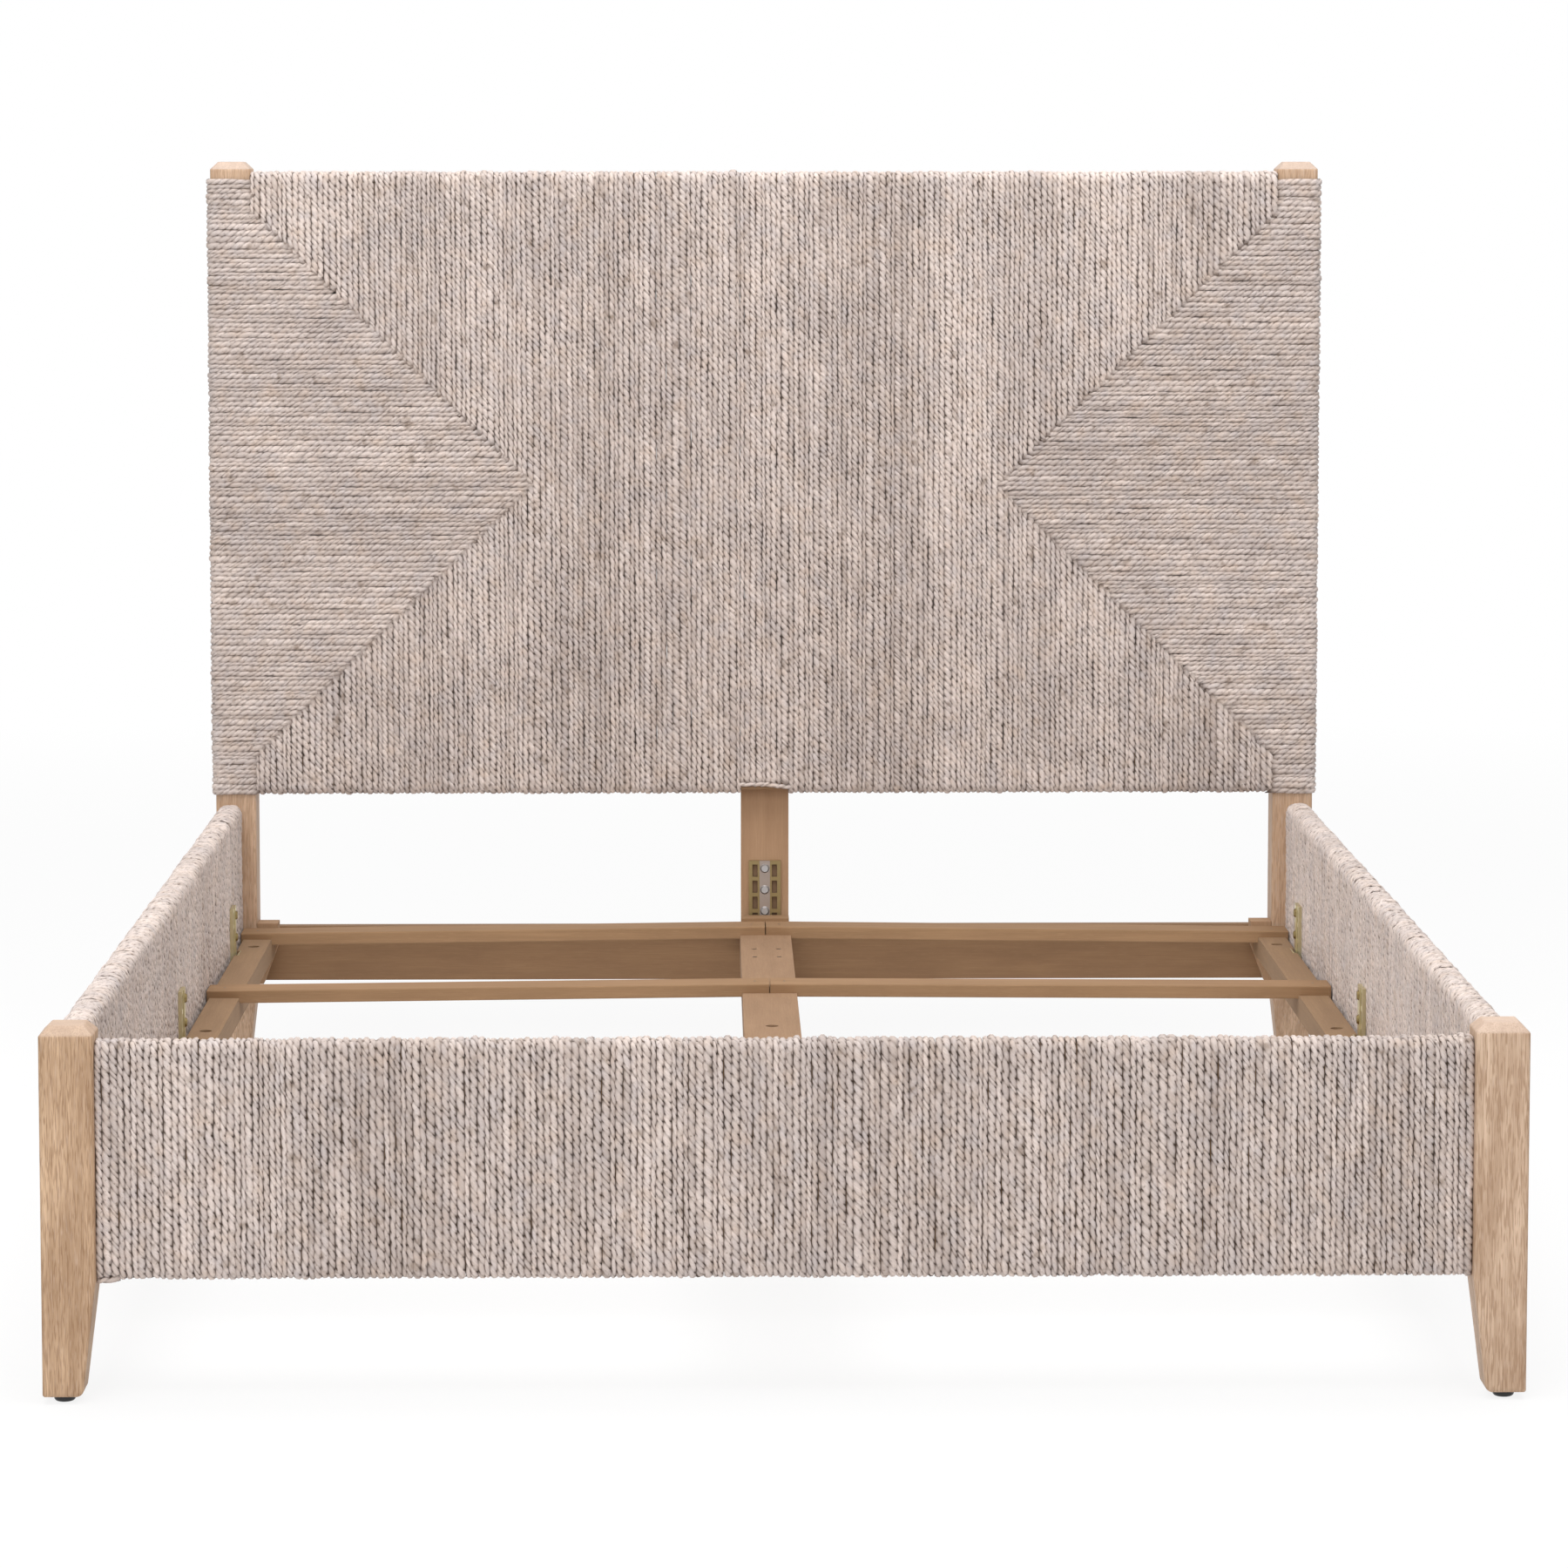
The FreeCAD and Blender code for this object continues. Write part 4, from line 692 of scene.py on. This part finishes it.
def swept(sections):
    """The points and faces of a shape through a row of sections, closed at both ends."""
    rows, columns, _ = sections.shape
    points = sections.reshape(-1, 3)
    row, column = (grid.ravel() for grid in np.meshgrid(np.arange(rows - 1), np.arange(columns), indexing="ij"))
    after = (column + 1) % columns
    sides = np.stack([row * columns + column, row * columns + after, (row + 1) * columns + after,
                      (row + 1) * columns + column], 1)
    near = np.array([(i, i + 1, columns - 2 - i, columns - 1 - i) for i in range(columns // 2 - 1)])
    quads = np.concatenate([sides, near[:, ::-1], near + (rows - 1) * columns])
    return points, quads[:, ::-1] if turned_inside_out(points, quads) else quads


def show(name, node, slot, points, quads, finish):
    """A piece with flat faces that stands for a CAD node."""
    piece = piece_of(name, points, quads)
    piece.data.shade_flat()
    piece.data.materials.append(finish)
    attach(piece, "frame")
    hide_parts(node)


def fall_at(x, fall):
    """How far the slats have fallen at some distance from the centre."""
    return fall * np.abs(x) / SLAT_REACH


def sloped_slat(node, fall):
    """A slat half with eased edges."""
    low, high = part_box(node)
    turns = np.radians([0, 45, 90])
    ring = []
    for start, y, z in ((0, high.y, high.z), (90, low.y, high.z), (180, low.y, low.z), (270, high.y, low.z)):
        way_y = 1 if y == high.y else -1
        way_z = 1 if z == high.z else -1
        for turn in turns + math.radians(start):
            ring.append((y - SLAT_EASE * (way_y - math.cos(turn)), z - SLAT_EASE * (way_z - math.sin(turn))))
    sections = np.array([[(x, y, z - fall_at(x, fall)) for y, z in ring] for x in np.linspace(low.x, high.x, 9)])
    show(f"{node}_sloped", node, "deck_wood", *swept(sections), poplar["x"])


def seated_screws():
    """The screws of the slats, each with a socket in its countersunk head."""
    # Radius and height in millimetres
    socket = [(0.1, -1.8), (1.2, -1.8), (1.6, 0.0)]
    head = [(3.7, 0.0), (4.0, -0.3), (2.0, -2.6)]
    shank = [(2.0, -28.0), (0.1, -30.0)]
    profile = np.array(socket + head + shank) * MM
    turns = np.linspace(0, 2 * math.pi, 16, endpoint=False)
    rings = np.stack([profile[:, :1] * np.cos(turns), profile[:, :1] * np.sin(turns),
                      np.broadcast_to(profile[:, 1:], (len(profile), len(turns)))], -1)
    screw_points, screw_quads = swept(rings)
    points, quads = [], []
    for node, fall in SLAT_FALLS.items():
        low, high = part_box(node)
        way = 1 if low.x + high.x > 0 else -1
        for x in (way * CENTER_SCREW, way * LEDGER_SCREW):
            seat = np.array([x, (low.y + high.y) / 2, high.z - fall_at(x, fall)])
            quads.append(screw_quads + len(points) * len(screw_points))
            points.append(screw_points + seat)
    show("slat_screws_seated", "slat_screws", "screw_steel", np.concatenate(points), np.concatenate(quads),
         brown_steel)


# The fall of each row of slats at the ledger, in millimetres, from the headboard on
SLAT_FALLS = {f"slat_{side}_{row}": fall * MM
              for side, falls in (("left", (9, 8, 7, 6, 7)), ("right", (9, 5, 7, 6, 7)))
              for row, fall in enumerate(falls, start=1)}
for node, fall in SLAT_FALLS.items():
    sloped_slat(node, fall)
seated_screws()


# Floor, light and camera

FLOOR_HALF = 40.0
# Near the bed the floor shows some of its shadow, and further off it goes over into the white surround
FLOOR_NEAR, FLOOR_FAR = 2.2, 6.0
NEAR_GLOW = 0.85
SURROUND_STRENGTH = 0.42
# Place, aim, size and power of each lamp
LAMPS = [
    ("softbox_overhead", (0.0, -0.6, 4.2), (0.0, 0.0, 0.0), (4.5, 5.0), 210.0),
    ("softbox_front", (-1.8, -7.5, 3.4), (0.0, 0.0, 0.6), (4.0, 3.0), 190.0),
]


def studio():
    """A pale floor under a white surround, with soft light from above and from the front."""
    material, tree, shader = new_material("studio_floor")
    tree.nodes.remove(shader)
    paths = add(tree, "ShaderNodeLightPath")
    seen = add(tree, "ShaderNodeMath", {0: paths.outputs["Is Camera Ray"], 1: paths.outputs["Is Glossy Ray"]},
               operation="MAXIMUM")
    place = add(tree, "ShaderNodeTexCoord").outputs["Object"]
    away = add(tree, "ShaderNodeVectorMath", {0: place}, operation="LENGTH")
    far_share = add(tree, "ShaderNodeMapRange", {"Value": away.outputs["Value"], "From Min": FLOOR_NEAR,
                                                 "From Max": FLOOR_FAR, "To Min": NEAR_GLOW, "To Max": 1.0})
    glow_share = add(tree, "ShaderNodeMath", {0: seen.outputs[0], 1: far_share.outputs[0]}, operation="MULTIPLY")
    matte = add(tree, "ShaderNodeBsdfDiffuse", {"Color": linear("#F4F4F4")})
    glow = add(tree, "ShaderNodeEmission", {"Color": (1.0, 1.0, 1.0, 1.0), "Strength": 1.0})
    mixed = add(tree, "ShaderNodeMixShader", {0: glow_share.outputs[0], 1: matte.outputs[0], 2: glow.outputs[0]})
    tree.links.new(mixed.outputs[0], tree.nodes["Material Output"].inputs["Surface"])
    corners = FLOOR_HALF * np.array([(-1, -1, 0), (1, -1, 0), (1, 1, 0), (-1, 1, 0)])
    floor = piece_of("studio_floor", corners, np.array([[0, 1, 2, 3]]))
    floor.data.materials.append(material)
    world = bpy.data.worlds.new("studio_surround")
    world.use_nodes = True
    bpy.context.scene.world = world
    tree = world.node_tree
    paths = add(tree, "ShaderNodeLightPath")
    seen = add(tree, "ShaderNodeMath", {0: paths.outputs["Is Camera Ray"], 1: paths.outputs["Is Glossy Ray"]},
               operation="MAXIMUM")
    seen = add(tree, "ShaderNodeMath", {0: seen.outputs[0], 1: paths.outputs["Is Transmission Ray"]},
               operation="MAXIMUM")
    strength = add(tree, "ShaderNodeMapRange", {"Value": seen.outputs[0], "To Min": SURROUND_STRENGTH, "To Max": 1.0})
    back = tree.nodes["Background"]
    back.inputs["Color"].default_value = (1.0, 1.0, 1.0, 1.0)
    tree.links.new(strength.outputs[0], back.inputs["Strength"])
    for name, place, aim, size, power in LAMPS:
        lamp = bpy.data.lights.new(name, "AREA")
        lamp.shape = "RECTANGLE"
        lamp.size, lamp.size_y = size
        lamp.energy = power
        holder = bpy.data.objects.new(name, lamp)
        holder.location = place
        holder.rotation_euler = (Vector(aim) - Vector(place)).to_track_quat("-Z", "Y").to_euler()
        bpy.context.scene.collection.objects.link(holder)


studio()

CAMERA_PLACE = (-0.0853, -6.8153, 1.3897)
CAMERA_PITCH = math.radians(5.230)
CAMERA_TURN = math.radians(-0.833)
CAMERA_LENS = 120.4
CAMERA_SHIFT = -0.1
FULL_FRAME = 36.0
camera = bpy.data.cameras.new("camera")
camera.sensor_width = FULL_FRAME
camera.lens = CAMERA_LENS
camera.shift_y = CAMERA_SHIFT
camera_holder = bpy.data.objects.new("camera", camera)
camera_holder.location = CAMERA_PLACE
camera_holder.rotation_euler = (math.pi / 2 - CAMERA_PITCH, 0.0, CAMERA_TURN)
bpy.context.scene.collection.objects.link(camera_holder)
bpy.context.scene.camera = camera_holder
bpy.context.scene.view_settings.view_transform = "Standard"
